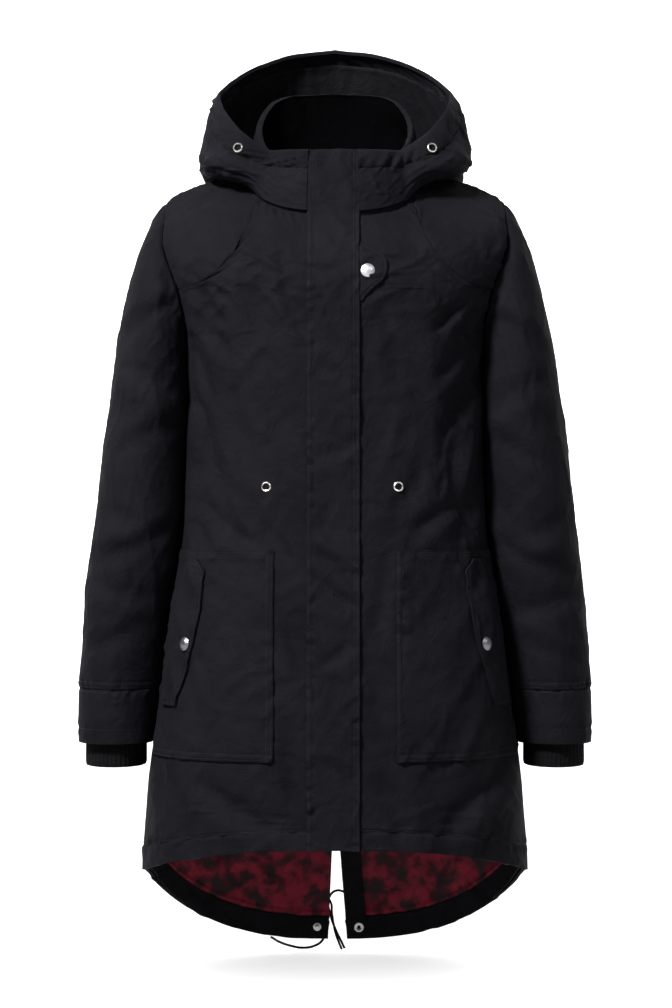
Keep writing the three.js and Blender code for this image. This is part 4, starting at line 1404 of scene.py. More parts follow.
    def _flap(self, side: Side) -> None:
        """One upright flap over a pocket's side opening.

        Args:
            side: Which side it is on.
        """
        levels = [-636, -605, -570, -505, -482, -466]
        free = SoftCurve(levels, [57, 53, 49.5, 47.6, 48, 54])
        hinge = SoftCurve(levels, [68, 67.5, 66.5, 64, 63, 62])
        us, vs = shares(14, 40), shares(44, 170)
        u, v = spread_rows(us, vs)
        level = mix(*self.flap_levels, v)
        theta = mix(free(level), hinge(level), u)
        name = f"pocket_flap_{side.word}"
        self.tailor.body_piece(
            f"{name}_cloth", theta, level, side, 7.9, self.wall, Edges(left=False, bottom=False, top=False),
            [name], [self.tailor.finishes.canvas], gather=0.5, roll=0.8, bevel=1.0,
            rows=(("left", 2.8), ("left", 8.4), ("bottom", 3.0), ("top", 3.0), ("right", 2.6)),
        )


@dataclass
class Sleeves:
    """Both sleeves with their cuff bands and knit cuffs."""

    tailor: Tailor
    wall: float = 5.0
    ribs: int = 42
    contact: float = 0.3
    cuff_top: float = -664.0
    cuff_end: float = -712.0
    cuff_centre: float = 262.0
    cuff_half: float = 35.2
    cuff_depth: float = 50.2
    curves: dict[str, SoftCurve] = field(
        default_factory=lambda: curves_of(
            ("at", "outerX", "outerZ", "innerZ", "front", "back"),
            [
                (0, 203, -40, -205, 58, 52),
                (1, 214, -52, -214, 62, 56),
                (2, 224, -70, -226, 67, 61),
                (3, 235, -98, -242, 71, 66),
                (4, 245, -134, -260, 75, 70),
                (5, 254, -180, -283, 77, 73),
                (6, 264, -232, -312, 78, 74),
                (7, 272, -290, -345, 77, 73),
                (8, 280, -348, -382, 75, 71),
                (9, 287, -406, -424, 73, 69),
                (10, 294, -462, -470, 71, 67),
                (11, 299, -515, -518, 68, 65),
                (12, 303, -568, -569, 65, 62),
                (13, 307, -620, -620, 62, 60),
                (14, 307, -684, -684, 61, 59),
            ],
        )
    )
    folds: tuple[Crease, ...] = (
        Crease(30, -150, 150, -210, 4.0, 11, 6),
        Crease(160, -235, 40, -275, 4.6, 12, -7),
        Crease(20, -300, 130, -345, 3.0, 11, 5),
        Crease(150, -395, 50, -430, 3.8, 11, 6),
        Crease(30, -425, 160, -470, 5.0, 11, -7),
        Crease(170, -480, 40, -512, 3.8, 10, 6),
        Crease(60, -545, 170, -575, 3.2, 10, -5),
        Crease(330, -160, 240, -230, 4.0, 12, 6),
        Crease(230, -290, 330, -340, 3.6, 12, -6),
        Crease(340, -410, 230, -455, 4.6, 11, 7),
        Crease(240, -480, 335, -520, 4.0, 11, -6),
        Crease(330, -560, 250, -590, 2.8, 10, 4),
    )

    def ring(self, at: Array, turn: Array) -> Array:
        """Places on the sleeve's outside.

        Args:
            at: Station along the sleeve.
            turn: Radians round, from the underarm over the front.

        Returns:
            Points in millimetres on the +X side.
        """
        outer_x, outer_z = self.curves["outerX"](at), self.curves["outerZ"](at)
        inner_z = self.curves["innerZ"](at)
        inner_x = FORM.curves["half"](inner_z) + 3 * smooth(0, 1, at)
        depth = np.where(np.sin(turn) >= 0, self.curves["front"](at), self.curves["back"](at))
        x = (outer_x + inner_x) / 2 - (outer_x - inner_x) / 2 * np.cos(turn)
        z = (outer_z + inner_z) / 2 - (outer_z - inner_z) / 2 * np.cos(turn)
        y = -depth * np.sign(np.sin(turn)) * np.abs(np.sin(turn)) ** 0.9
        level = np.clip(z, -955, -206)
        forward = np.where(y < 0, FORM.curves["front"](level), FORM.curves["back"](level))
        share = np.clip(np.abs(y) / forward, 0, 0.98) ** (1 / ROUNDING)
        beside = FORM.curves["half"](level) * (1 - share**2) ** (ROUNDING / 2) + self.contact
        near = np.exp(-((np.minimum(turn, 2 * np.pi - turn) / 0.52) ** 2)) * smooth(0.1, 0.9, at)
        return np.stack([mix(x, beside, near), y, z], axis=-1)

    def _armhole(self, turn: Array) -> Array:
        """The armhole's edge on the body.

        Args:
            turn: Radians round, from the underarm over the front.

        Returns:
            One point for each turn.
        """
        share = turn / np.pi
        front_theta, front_level = FORM.armhole(np.clip(share, 0, 1), FORM.front_spread)
        back_theta, back_level = FORM.armhole(np.clip(2 - share, 0, 1), FORM.back_spread)
        first = share <= 1
        return FORM.point(np.where(first, front_theta, back_theta), np.where(first, front_level, back_level))

    def build(self) -> None:
        """Builds both sleeves."""
        turns = np.linspace(0, 2 * np.pi, 145)
        last = 13 - np.array([0.24, 0.19, 0.155, 0.125, 0.1, 0.075, 0.05, 0.03, 0.012, 0.0])
        first = [0, 0.04, 0.09, 0.15, 0.22, 0.3, 0.4, 0.5]
        stations = np.concatenate([first, np.linspace(0.62, 12.7, 142), last])
        turn, at = np.meshgrid(turns, stations)
        points = self.ring(at, turn)
        shift = self._armhole(turns) - self.ring(np.zeros_like(turns), turns)
        points = points + shift[None] * (np.clip(1 - at / 5, 0, 1) ** 1.5)[..., None]
        band_v = shares(12, 64, NARROW_ROWS)
        turn_b, at_b = np.meshgrid(turns, mix(14.0, 13.0, band_v)[::-1])
        band = self.ring(at_b, turn_b)
        for side in Side:
            self._sleeve(side, points.copy(), turn, at)
            self._band(side, band.copy(), turn_b)
            self._cuff(side)

    def _relief(self, turn: Array, z: Array, side: Side) -> Array:
        """The sleeve's folds, shifted so that the two sides differ.

        Args:
            turn: Radians round at each point.
            z: Height of each point.
            side: Which side it is on.

        Returns:
            Relief in millimetres.
        """
        degrees = np.degrees(turn)
        move = 0.0 if side is Side.RIGHT else 16.0
        folds = crease_relief(degrees + move * 0.6, z + move, self.folds)
        ripple = 1.4 * drift(degrees * 0.8, z, 60, 5.0 + move) * np.abs(np.sin(turn / 2)) ** 0.5
        lean = 1.0 if side is Side.LEFT else -1.0
        return folds * 0.75 + ripple + 0.8 * rumple(degrees * 1.1, z * 0.8, 3.1 + move, lean)

    def _finish(
        self,
        name: str,
        points: Array,
        relief: Array,
        side: Side,
        materials: list[bpy.types.Material],
    ) -> Array:
        """Args:
            name: The CAD node that it replaces.
            points: Its grid on the +X side.
            relief: How far each point lifts.
            side: Which side it is on.
            materials: Outer and inner material.

        Returns:
            The finished grid.
        """
        normal = surface_normals(np.concatenate([points[:, -2:-1], points, points[:, 1:2]], axis=1))[:, 1:-1]
        if np.mean(normal[:, :, 1] * points[:, :, 1]) < 0:
            normal = -normal
        points = points + normal * relief[..., None]
        points[:, -1] = points[:, 0]
        points[..., 0] *= side.sign
        normal = normal * np.array([side.sign, 1, 1])
        made = grid_object(f"{name}_cloth", points, joined=True, outward=normal)
        thicken(made, self.wall, 1)
        self.tailor.settle(made, [name], "canvas", materials)
        self.tailor.declare(made, points, "hung")
        return points

    def _sleeve(self, side: Side, points: Array, turn: Array, at: Array) -> None:
        """One sleeve down to its cuff seam.

        Args:
            side: Which side it is on.
            points: Its grid on the +X side.
            turn: Radians round at each point.
            at: Station of each point.
        """
        finishes = self.tailor.finishes
        up = arc(points, 0)
        around = arc(points, 1)
        relief = self._relief(turn, points[..., 2], side) * smooth(0.3, 2.2, at)
        relief = relief * (1 - 0.7 * smooth(12.2, 13, at))
        nearest = np.minimum(turn, 2 * np.pi - turn)
        clear = 1 - np.exp(-((nearest / 0.6) ** 2))
        relief = np.where(relief > 0, relief * clear, relief * (1 - 0.9 * np.exp(-((nearest / 0.4) ** 2))))
        relief += 1.0 * pucker(around, up, 4.0, 18) * smooth(0.1, 0.6, at) * clear
        end = up[-1:] - up
        relief += 0.9 * pucker(around, end, 7.0, 16) * clear - 1.5 * (1 - smooth(0, 3.2, end)) ** 1.5
        relief -= 1.2 * (1 - smooth(0, 5, up)) ** 1.5 + groove(end, 2.6) + groove(end, 8.4)
        name = f"sleeve_{side.word}"
        made = self._finish(name, points, relief, side, [finishes.canvas, finishes.dark_lining])
        self.tailor.sew(name, [line_beside(made, "top", place) for place in (2.6, 8.4)], 0.5)

    def _band(self, side: Side, points: Array, turn: Array) -> None:
        """The sewn band at a sleeve's end.

        Args:
            side: Which side it is on.
            points: Its grid on the +X side.
            turn: Radians round at each point.
        """
        finishes = self.tailor.finishes
        up, around = arc(points, 0), arc(points, 1)
        end = up[-1:] - up
        relief = 0.9 * pucker(around, up, 2.0, 14) + 0.6 * pucker(around, np.abs(end - 17), 5.0, 12)
        relief += 1.2 * drift(around, points[..., 2], 40, 3.0)
        relief -= 1.4 * (1 - smooth(0, 3.2, up)) ** 1.5 + groove(end, 17.0, 1.0, 1.6) + groove(up, 3.0)
        nearest = np.minimum(turn, 2 * np.pi - turn)
        relief = np.minimum(relief, 1.6) * (1 - 0.9 * np.exp(-((nearest / 0.5) ** 2)))
        name = f"cuff_band_{side.word}"
        made = self._finish(name, points, relief, side, [finishes.canvas, finishes.dark_lining])
        self.tailor.sew(name, [line_beside(made, "top", 17.0), line_beside(made, "bottom", 3.0)], 0.5)

    def _cuff(self, side: Side) -> None:
        """One rib-knit cuff.

        Args:
            side: Which side it is on.
        """
        count = self.ribs * 8
        turns = np.linspace(0, 2 * np.pi, count + 1)
        heights = mix(self.cuff_top, self.cuff_end, shares(14, 48, NARROW_ROWS))
        turn, z = np.meshgrid(turns, heights)
        rib = 0.9 * (0.5 + 0.5 * np.cos(turn * self.ribs)) ** 0.7
        sag = 1.4 * drift(np.degrees(turn), z, 70, 1.0) * smooth(self.cuff_top, self.cuff_top - 26, z)
        end = 1.0 - np.exp(-((z - self.cuff_end) / 2.2) ** 2) * 0.9
        x = self.cuff_centre - (self.cuff_half + rib * end + sag * 0.4) * np.cos(turn)
        y = -(self.cuff_depth + rib * end + sag) * np.sin(turn)
        points = np.stack([x, y, z], axis=-1)
        points[:, -1] = points[:, 0]
        points[..., 0] *= side.sign
        normal = np.stack([-np.cos(turn) * side.sign, -np.sin(turn), np.zeros_like(turn)], axis=-1)
        made = grid_object(f"knit_cuff_{side.word}_cloth", points, joined=True, outward=normal)
        thicken(made, 2.0)
        self.tailor.settle(made, [f"knit_cuff_{side.word}"], "knit", [self.tailor.finishes.knit])
        self.tailor.declare(made, points, "stretched")


@dataclass
class Neck:
    """The stand collar and the hood that lies back behind it."""

    tailor: Tailor
    collar_wall: float = 6.0
    hood_wall: float = 4.0
    collar_half: float = 94.0
    collar_front: float = 78.0
    collar_back: float = 80.0
    collar_top: SoftCurve = field(
        default_factory=lambda: SoftCurve(
            [0, 48, 60, 75, 90, 115, 130, 150, 180], [12.5, 14, 22, 37, 52, 78, 91, 100, 104]
        )
    )
    curves: dict[str, SoftCurve] = field(
        default_factory=lambda: curves_of(
            ("turn", "lowR", "lowZ", "bulgeR", "bulgeZ", "seamR", "seamZ", "rimR", "rimZ"),
            [
                (46, 108, -30, 110, -22, 108, -8, 106, 15),
                (60, 128, -14, 137, -5, 131, 9, 122, 34),
                (75, 147, -14, 157, 0, 142, 28, 129, 57),
                (90, 155, -8, 163, 8, 149, 56, 137, 80),
                (110, 160, -15, 172, 20, 158, 84, 146, 106),
                (135, 166, -35, 185, 30, 158, 122, 141, 141),
                (160, 166, -48, 191, 40, 158, 148, 138, 163),
                (180, 164, -55, 192, 40, 160, 155, 140, 170),
            ],
        )
    )

    def collar(self, theta: Array, rise: Array) -> Array:
        """Places on the outside of the collar.

        Args:
            theta: Degrees round.
            rise: 0 at the neck seam to 1 at the top.

        Returns:
            Points in millimetres.
        """
        s, c = np.sin(np.radians(theta)), np.cos(np.radians(theta))
        turn = np.abs(np.where(theta <= 180, theta, 360 - theta))
        depth = np.where(c >= 0, self.collar_front, self.collar_back)
        x = self.collar_half * np.sign(s) * np.abs(s) ** ROUNDING
        y = -depth * np.sign(c) * np.abs(c) ** ROUNDING
        top = np.stack([x, y, self.collar_top(turn)], axis=-1)
        base = FORM.point(theta, np.full_like(theta, FORM.neck_level))
        swell = 2 * np.sin(np.pi * rise)
        out = np.stack([s * swell, -c * swell, np.zeros_like(s)], axis=-1)
        return mix(base, top, rise[..., None]) + out

    def collar_normal(self, theta: Array, rise: Array) -> Array:
        """Unit normals out of the collar.

        Args:
            theta: Degrees round.
            rise: 0 at the neck seam to 1 at the top.

        Returns:
            One normal for each place.
        """
        held = np.clip(rise, 0.02, 0.98)
        along = self.collar(theta + 1, held) - self.collar(theta - 1, held)
        return unit(np.cross(along, self.collar(theta, held + 0.02) - self.collar(theta, held - 0.02)))

    def hood(self, turn: Array, rise: Array) -> Array:
        """Places on the hood's shell.

        Args:
            turn: Degrees round from the centre front.
            rise: 0 at the neck, 1 at the casing's seam, 1.25 at the rim.

        Returns:
            Points in millimetres.
        """
        height = np.where(rise <= 1, mix(0.06, 0.7, rise), mix(0.7, 1.0, (rise - 1) * 4))
        lift = self.hood_wall + 0.7
        hug = self.collar(turn, height) + self.collar_normal(turn, height) * lift
        low_rise = np.full_like(rise, 0.06)
        knots = [self.collar(turn, low_rise) + self.collar_normal(turn, low_rise) * lift]
        angle = np.radians(turn)
        for key in ("low", "bulge", "seam", "rim"):
            radius, z = self.curves[key + "R"](turn), self.curves[key + "Z"](turn)
            knots.append(np.stack([radius * np.sin(angle), -radius * np.cos(angle), z], axis=-1))
        shell = catmull(knots[:4], np.clip(rise, 0, 1))
        rim = mix(knots[3], knots[4], ((rise - 1) * 4)[..., None])
        free = np.where((rise <= 1)[..., None], shell, rim)
        loose = smooth(42, 66, turn)[..., None]
        return mix(hug, free, loose)

    def build(self) -> None:
        """Builds the collar, the hood halves, the casing and the hood's lining."""
        self._collar()
        for side in Side:
            self._half(side)
        self._casing()
        self._lining()

    def _collar(self) -> None:
        """The stand collar, one strip from front edge to front edge."""
        thetas = np.concatenate([[0.1, 0.8, 2.2], np.linspace(4, 356, 150), [357.8, 359.2, 359.9]])
        rises = np.concatenate([[-0.05], shares(22, 110)])
        theta, rise = np.meshgrid(thetas, rises)
        points = self.collar(theta, rise)
        normal = self.collar_normal(theta, rise)
        start = smooth(0, 0.08, rise)[..., None]
        seam_normal = FORM.normal(theta, np.full_like(theta, 59.0))
        normal = unit(mix(seam_normal, normal, start))
        up, around = arc(points, 0), arc(points, 1)
        top = up[-1:] - up
        relief = 0.5 * pucker(around, up, 3.0, 12) + 0.3 * pucker(around, top, 5.0, 12)
        soft = 1.1 * drift(around, points[..., 2], 45, 6.0) + 0.8 * rumple(around, points[..., 2], 5.5)
        relief += soft * smooth(0, 12, up) * smooth(0, 12, top)
        inside = (theta > 60) & (theta < 300)
        relief = np.where(inside, relief, np.minimum(relief, 0.0))
        relief -= 1.2 * (1 - smooth(0, 4, top)) ** 1.5
        points = points + normal * relief[..., None]
        made = grid_object("collar_cloth", points, outward=normal)
        thicken(made, self.collar_wall, 1, 2.4)
        # The collar's inner side takes dark_lining: the lining's dark colour plus painted shade for the
        # collar's interior.
        finishes = self.tailor.finishes
        self.tailor.settle(made, ["collar"], "canvas", [finishes.canvas, finishes.dark_lining])
        self.tailor.declare(made, points, "hung")

    def _mirrored(self, turn: Array, rise: Array) -> tuple[Array, Array, Array]:
        """Places on the whole hood, from one front edge round to the other.

        Args:
            turn: Degrees round, past 180 on the wearer's right.
            rise: 0 at the neck, 1 at the casing's seam, 1.25 at the rim.

        Returns:
            Which places are past the middle, the turn folded to one side, and the points.
        """
        mirror = turn > 180
        folded = np.where(mirror, 360 - turn, turn)
        points = self.hood(folded, rise)
        points[..., 0] *= np.where(mirror, -1.0, 1.0)
        points[..., 0] = np.where(np.abs(turn - 180) < 1e-6, 0.0, points[..., 0])
        return mirror, folded, points

    def _relief(self, turn: Array, rise: Array, seed: float) -> Array:
        """The hood's gathers and soft folds.

        Args:
            turn: Degrees round from the centre front.
            rise: 0 at the neck to 1 at the casing's seam.
            seed: Shifts the pattern.

        Returns:
            Relief in millimetres.
        """
        around = np.radians(turn) * 140
        height = rise * 150
        gathers = pucker(around, (1 - rise) * 150, seed, 34) * 2.3
        folds = 2.9 * drift(around, height * 0.7, 38, seed) + 4.4 * drift(around * 0.8, height, 85, seed + 2)
        lumps = 1.9 * drift(around, height * 0.8, 13, seed + 7) + 1.9 * rumple(around, height, seed + 5)
        shape = np.sin(np.pi * np.clip(rise, 0, 1)) ** 0.8
        loose = smooth(46, 82, turn) * (1 - 0.9 * smooth(164, 179, turn))
        tight = np.maximum(1.1 * gathers * smooth(0.5, 0.9, rise) + 1.2 * lumps * shape, -0.3)
        relief = (gathers * smooth(0.5, 0.9, rise) + (folds + lumps) * shape) * loose
        relief = relief + tight * (1 - smooth(46, 82, turn))
        return relief - 1.3 * (1 - smooth(0, 4, (1 - rise) * 150)) ** 1.5

    def _half(self, side: Side) -> None:
        """One half of the hood's shell.

        Args:
            side: Which side it is on.
        """
        start = 14.0 if side is Side.RIGHT else 11.8
        middle = np.linspace(start + 2.6, 177.4, 134)
        turns = np.concatenate([[start, start + 0.5, start + 1.4], middle, [178.6, 179.4, 179.97]])
        turn, rise = np.meshgrid(turns, shares(46, 150))
        points = self.hood(turn, rise)
        normal = surface_normals(points)
        relief = self._relief(turn, rise, 1.0 if side is Side.RIGHT else 3.7)
        edge = arc(points, 1)
        relief = relief - 0.7 * (1 - smooth(0, 3.5, edge[:, -1:] - edge)) ** 1.5
        relief = np.where((points[..., 2] < 2) & (relief > 0), relief * 0.35, relief)
        points = points + normal * relief[..., None]
        points[..., 0] *= side.sign
        normal = normal * np.array([side.sign, 1, 1])
        made = grid_object(f"hood_{side.word}_cloth", points, outward=normal)
        thicken(made, self.hood_wall, 1, 1.5)
        finishes = self.tailor.finishes
        self.tailor.settle(made, [f"hood_{side.word}"], "canvas", [finishes.canvas, finishes.inner])
        self.tailor.declare(made, points, "hung")

    def _casing(self) -> None:
        """The drawcord casing round the hood's rim."""
        half = np.concatenate([[14.0, 14.6, 15.8], np.linspace(17.2, 178.5, 130)])
        turns = np.concatenate([[11.8, 12.5, 13.5], half[1:], [180.0], 360 - half[::-1]])
        rises = mix(0.99, 1.25, shares(10, 26, NARROW_ROWS))
        turn, rise = np.meshgrid(turns, rises)
        points = self._mirrored(turn, rise)[2]
        normal = surface_normals(points)
        up, around = arc(points, 0), arc(points, 1)
        puff = 1.6 * np.sin(np.pi * np.clip((rise - 1.01) / 0.24, 0, 1)) ** 0.8
        crinkle = 1.5 * pucker(around, up, 2.0, 22) + 1.0 * drift(around, up, 14, 4.0)
        crinkle += 0.9 * rumple(around, up * 1.4, 2.4)
        relief = 0.4 + puff + crinkle * (1 - 0.8 * smooth(0.4, 1.0, (rise - 0.99) / 0.26))
        relief -= 1.6 * (1 - smooth(0, 3.6, up)) ** 1.5 + 1.4 * (1 - smooth(0, 4.0, up[-1:] - up)) ** 1.5
        points = points + normal * relief[..., None]
        made = grid_object("hood_casing_cloth", points, outward=normal)
        thicken(made, self.hood_wall + 0.6, 1, 1.2)
        finishes = self.tailor.finishes
        self.tailor.settle(made, ["hood_casing"], "canvas", [finishes.canvas, finishes.inner])
        self.tailor.declare(made, points, "hung")

    def _lining(self) -> None:
        """The dark lining inside the hood's bowl."""
        half = np.linspace(69, 178.5, 70)
        turns = np.concatenate([half, [180.0], 360 - half[::-1]])
        turn, rise = np.meshgrid(turns, np.linspace(0.3, 1.01, 34))
        mirror, folded, points = self._mirrored(turn, rise)
        normal = surface_normals(points)
        relief = np.where(mirror, self._relief(folded, rise, 1.0), self._relief(folded, rise, 3.7))
        relief = np.where((points[..., 2] < 2) & (relief > 0), relief * 0.35, relief)
        points = points + normal * (relief - self.hood_wall - 0.9)[..., None]
        made = grid_object("hood_lining_cloth", points, outward=normal)
        thicken(made, 1.5)
        self.tailor.settle(made, ["hood_lining"], "dark_lining", [self.tailor.finishes.inner])
        self.tailor.declare(made, points, "hung")


def catmull(knots: list[Array], share: Array) -> Array:
    """A centripetal curve through four knots, read at a share of its way.

    Args:
        knots: Four arrays of points.
        share: 0 at the first knot to 1 at the last.

    Returns:
        One point for each share.
    """
    spans = len(knots) - 1
    whole = np.clip(share, 0, 1) * spans
    piece = np.clip(np.floor(whole), 0, spans - 1)
    u = (whole - piece)[..., None]
    result = np.zeros_like(knots[0])
    for k in range(spans):
        p1, p2 = knots[k], knots[k + 1]
        p0 = knots[k - 1] if k else p1 * 2 - p2
        p3 = knots[k + 2] if k + 2 <= spans else p2 * 2 - p1
        d0, d1, d2 = (np.maximum(np.linalg.norm(b - a, axis=-1, keepdims=True) ** 0.5, 1e-4)
                      for a, b in ((p0, p1), (p1, p2), (p2, p3)))
        t1 = ((p1 - p0) / d0 - (p2 - p0) / (d0 + d1) + (p2 - p1) / d1) * d1
        t2 = ((p2 - p1) / d1 - (p3 - p1) / (d1 + d2) + (p3 - p2) / d2) * d1
        c2, c3 = -3 * p1 + 3 * p2 - 2 * t1 - t2, 2 * p1 - 2 * p2 + t1 + t2
        value = p1 + t1 * u + c2 * u * u + c3 * u**3
        result = np.where((piece == k)[..., None], value, result)
    return result


@dataclass
class Fittings:
    """Snaps and eyelets."""

    tailor: Tailor
    neck: Neck
    tab_snap_at: tuple[float, float] = (37.5, -88.0)
    pocket_snap_at: tuple[float, float] = (169.0, -564.0)
    eyelet_level: float = -381.0
    hem_snap_level: float = -927.0
    # Radius in millimetres inside which an eyelet's faces get the painted shade of its hole.
    barrel: float = 4.4

    def _turned(
        self,
        name: str,
        profile: list[tuple[float, float]],
        place: Array,
        way: Array,
        nodes: list[str],
        slot: str,
        materials: list[bpy.types.Material],
        barrel: float = 0.0,
    ) -> None:
        """A fitting spun round its axis.

        Args:
            name: The piece's name.
            profile: Radius and height pairs in millimetres.
            place: Its seat in millimetres.
            way: The way its top faces.
            nodes: The nodes it replaces.
            slot: The record's slot.
            materials: Its finish, and after it the barrel's finish, which paints shade into the hole.
            barrel: The barrel's outer radius in millimetres, inside which faces get the painted shade, 0 for
                none.
        """
        bm = bmesh.new()
        verts = [bm.verts.new((r * MM, 0, z * MM)) for r, z in profile]
        edges = [bm.edges.new(pair) for pair in zip(verts, verts[1:])]
        bmesh.ops.spin(
            bm, geom=verts + edges, cent=(0, 0, 0), axis=(0, 0, 1), angle=2 * math.pi,
            steps=48, use_merge=True,
        )
        bmesh.ops.remove_doubles(bm, verts=bm.verts, dist=1e-6)
        bmesh.ops.recalc_face_normals(bm, faces=bm.faces)
        # Faces inside the barrel take the second finish, painted shade for the inside of the hole.
        inside = [int(face.calc_center_median().xy.length < barrel * MM) for face in bm.faces]
        turn = Vector((0, 0, 1)).rotation_difference(Vector(way)).to_matrix().to_4x4()
        turn.translation = Vector(place) * MM
        bmesh.ops.transform(bm, matrix=turn, verts=bm.verts)
        mesh = bpy.data.meshes.new(name)
        bm.to_mesh(mesh)
        bm.free()
        for polygon in mesh.polygons:
            polygon.use_smooth = True
        mesh.set_sharp_from_angle(angle=math.radians(40))
        made = put_in_scene(name, mesh)
        self.tailor.settle(made, nodes, slot, materials)
        mesh.polygons.foreach_set("material_index", inside)

    def _seat(self, x: float, level: float, lift: float, side: Side) -> tuple[Array, Array]:
        """A seat on the body's cloth.

        Args:
            x: How far it is from the centre, in millimetres.
            level: Its level.
            lift: Its height above the body's surface.
            side: Which side it is on.

        Returns:
            The seat and the way out of it.
        """
        theta = FORM.theta_at(np.array(x), np.array(level))
        way = FORM.normal(theta, np.array(level))
        relief = body_relief(np.abs(theta), np.array(level), side)
        place = FORM.point(theta, np.array(level)) + way * (lift + relief)
        flip = np.array([side.sign, 1, 1])
        return place * flip, way * flip

    def build(self) -> None:
        """Builds every fitting."""
        finishes = self.tailor.finishes
        dome = [
            (0, 0), (7.6, 0), (8, 0.4), (8, 1.3), (7.4, 1.9),
            (6.6, 2.1), (6.3, 2.5), (5, 3.3), (2.8, 3.9), (0, 4.1),
        ]
        ring = [
            (2.7, 0), (6, 0), (5.9, 0.5), (5.4, 1.1), (4.8, 1.35),
            (4.2, 1.15), (3.6, 0.8), (2.8, 0.3), (2.7, 0),
        ]
        bright, dark, eyelet = [finishes.bright], [finishes.dark], [finishes.ring, finishes.hole]
        place, way = self._seat(*self.tab_snap_at, 3.9, Side.LEFT)
        self._turned("tab_snap_dome", dome, place, way, ["tab_snap"], "bright_metal", bright)
        for side in Side:
            name = f"pocket_snap_{side.word}"
            place, way = self._seat(*self.pocket_snap_at, 8.0, side)
            self._turned(f"{name}_dome", dome, place, way, [name], "dark_metal", dark)
            name = f"waist_eyelet_{side.word}"
            place, way = self._seat(79.4 if side is Side.RIGHT else 72.6, self.eyelet_level, 0.1, side)
            self._turned(f"{name}_ring", ring, place, way, [name], "dark_metal", eyelet, self.barrel)
            turn, rise = np.array([[61.0, 62.0, 63.0]] * 3), np.array([[1.03] * 3, [1.06] * 3, [1.09] * 3])
            patch = self.neck.hood(turn, rise)
            way = surface_normals(patch)[1, 1] * np.array([side.sign, 1, 1])
            place = patch[1, 1] * np.array([side.sign, 1, 1]) + way * 2.2
            name = f"hood_eyelet_{side.word}"
            self._turned(f"{name}_ring", ring, place, way, [name], "bright_metal", eyelet, self.barrel)
        stud = [(0, 0), (5, 0), (5, 0.8), (4.3, 1.2), (3.0, 1.2), (2.6, 2.4), (1.6, 3.0), (0, 3.1)]
        socket = [(2, 0), (6, 0), (6, 1.6), (5.3, 2.4), (3.4, 2.4), (2.6, 1.8), (2, 1.2), (2, 0)]
        for name, x, profile, depth, side in (
            ("hem_snap_stud", 22.4, stud, 9.1, Side.RIGHT),
            ("hem_snap_socket", 30.0, socket, 11.0, Side.LEFT),
        ):
            level = np.array(self.hem_snap_level)
            theta = 180 - FORM.theta_at(np.array(x), level)
            way = FORM.normal(theta, level)
            place = FORM.point(theta, level) - way * depth
            flip = np.array([side.sign, 1, 1])
            self._turned(f"{name}_part", profile, place * flip, -way * flip, [name], "bright_metal", bright)


@dataclass
class HemCords:
    """The hem drawcord's two free ends beside the vent."""

    tailor: Tailor
    diameter: float = 0.003

    def build(self) -> None:
        """Builds both cords."""
        right = [
            (-80, 115, -940.2), (-70, 117, -946.5), (-54, 120, -952.5), (-39, 122, -955), (-26, 124, -953),
            (-17, 124.6, -947.5), (-12.5, 124.2, -938), (-14, 124.4, -925), (-17, 125.4, -912),
            (-17.5, 126.6, -901), (-12, 127.4, -893), (-5.5, 127.2, -899), (-4, 126.2, -912),
            (-2, 125, -925), (1, 124, -938), (5, 123, -949), (8.5, 122.5, -957),
        ]
        left = [
            (40, 122.3, -930), (37.8, 122.4, -923.3), (35, 122.5, -917), (31.3, 122.6, -909.2),
            (27, 122.6, -902), (18, 122.8, -890), (9, 123, -884.5), (1, 123.2, -884),
            (-5.5, 123.3, -889), (-8.4, 123.2, -899),
            (-6.6, 122.4, -911), (-3, 121.4, -923), (-0.6, 120.8, -929), (2, 120.2, -935), (7.5, 119.2, -946),
            (12, 118.5, -955),
        ]
        self._cord("right", right)
        self._cord("left", left)

    def _cord(self, word: str, route: list[tuple[float, float, float]]) -> None:
        """One cord along its route.

        Args:
            word: Which side it comes from.
            route: Its points in millimetres.
        """
        points = np.array(route) * MM
        curve = bpy.data.curves.new(f"hem_cord_{word}_line", "CURVE")
        curve.dimensions = "3D"
        curve.bevel_depth = self.diameter / 2
        curve.bevel_resolution = 3
        curve.use_fill_caps = True
        spline = curve.splines.new("BEZIER")
        spline.bezier_points.add(len(points) - 1)
        for knot, point in zip(spline.bezier_points, points):
            knot.co = point
            knot.handle_left_type = knot.handle_right_type = "AUTO"
        spline.resolution_u = 8
        made = put_in_scene(f"hem_cord_{word}_line", curve)
        self.tailor.settle(made, [f"hem_cord_{word}"], "cord", [self.tailor.finishes.cord])


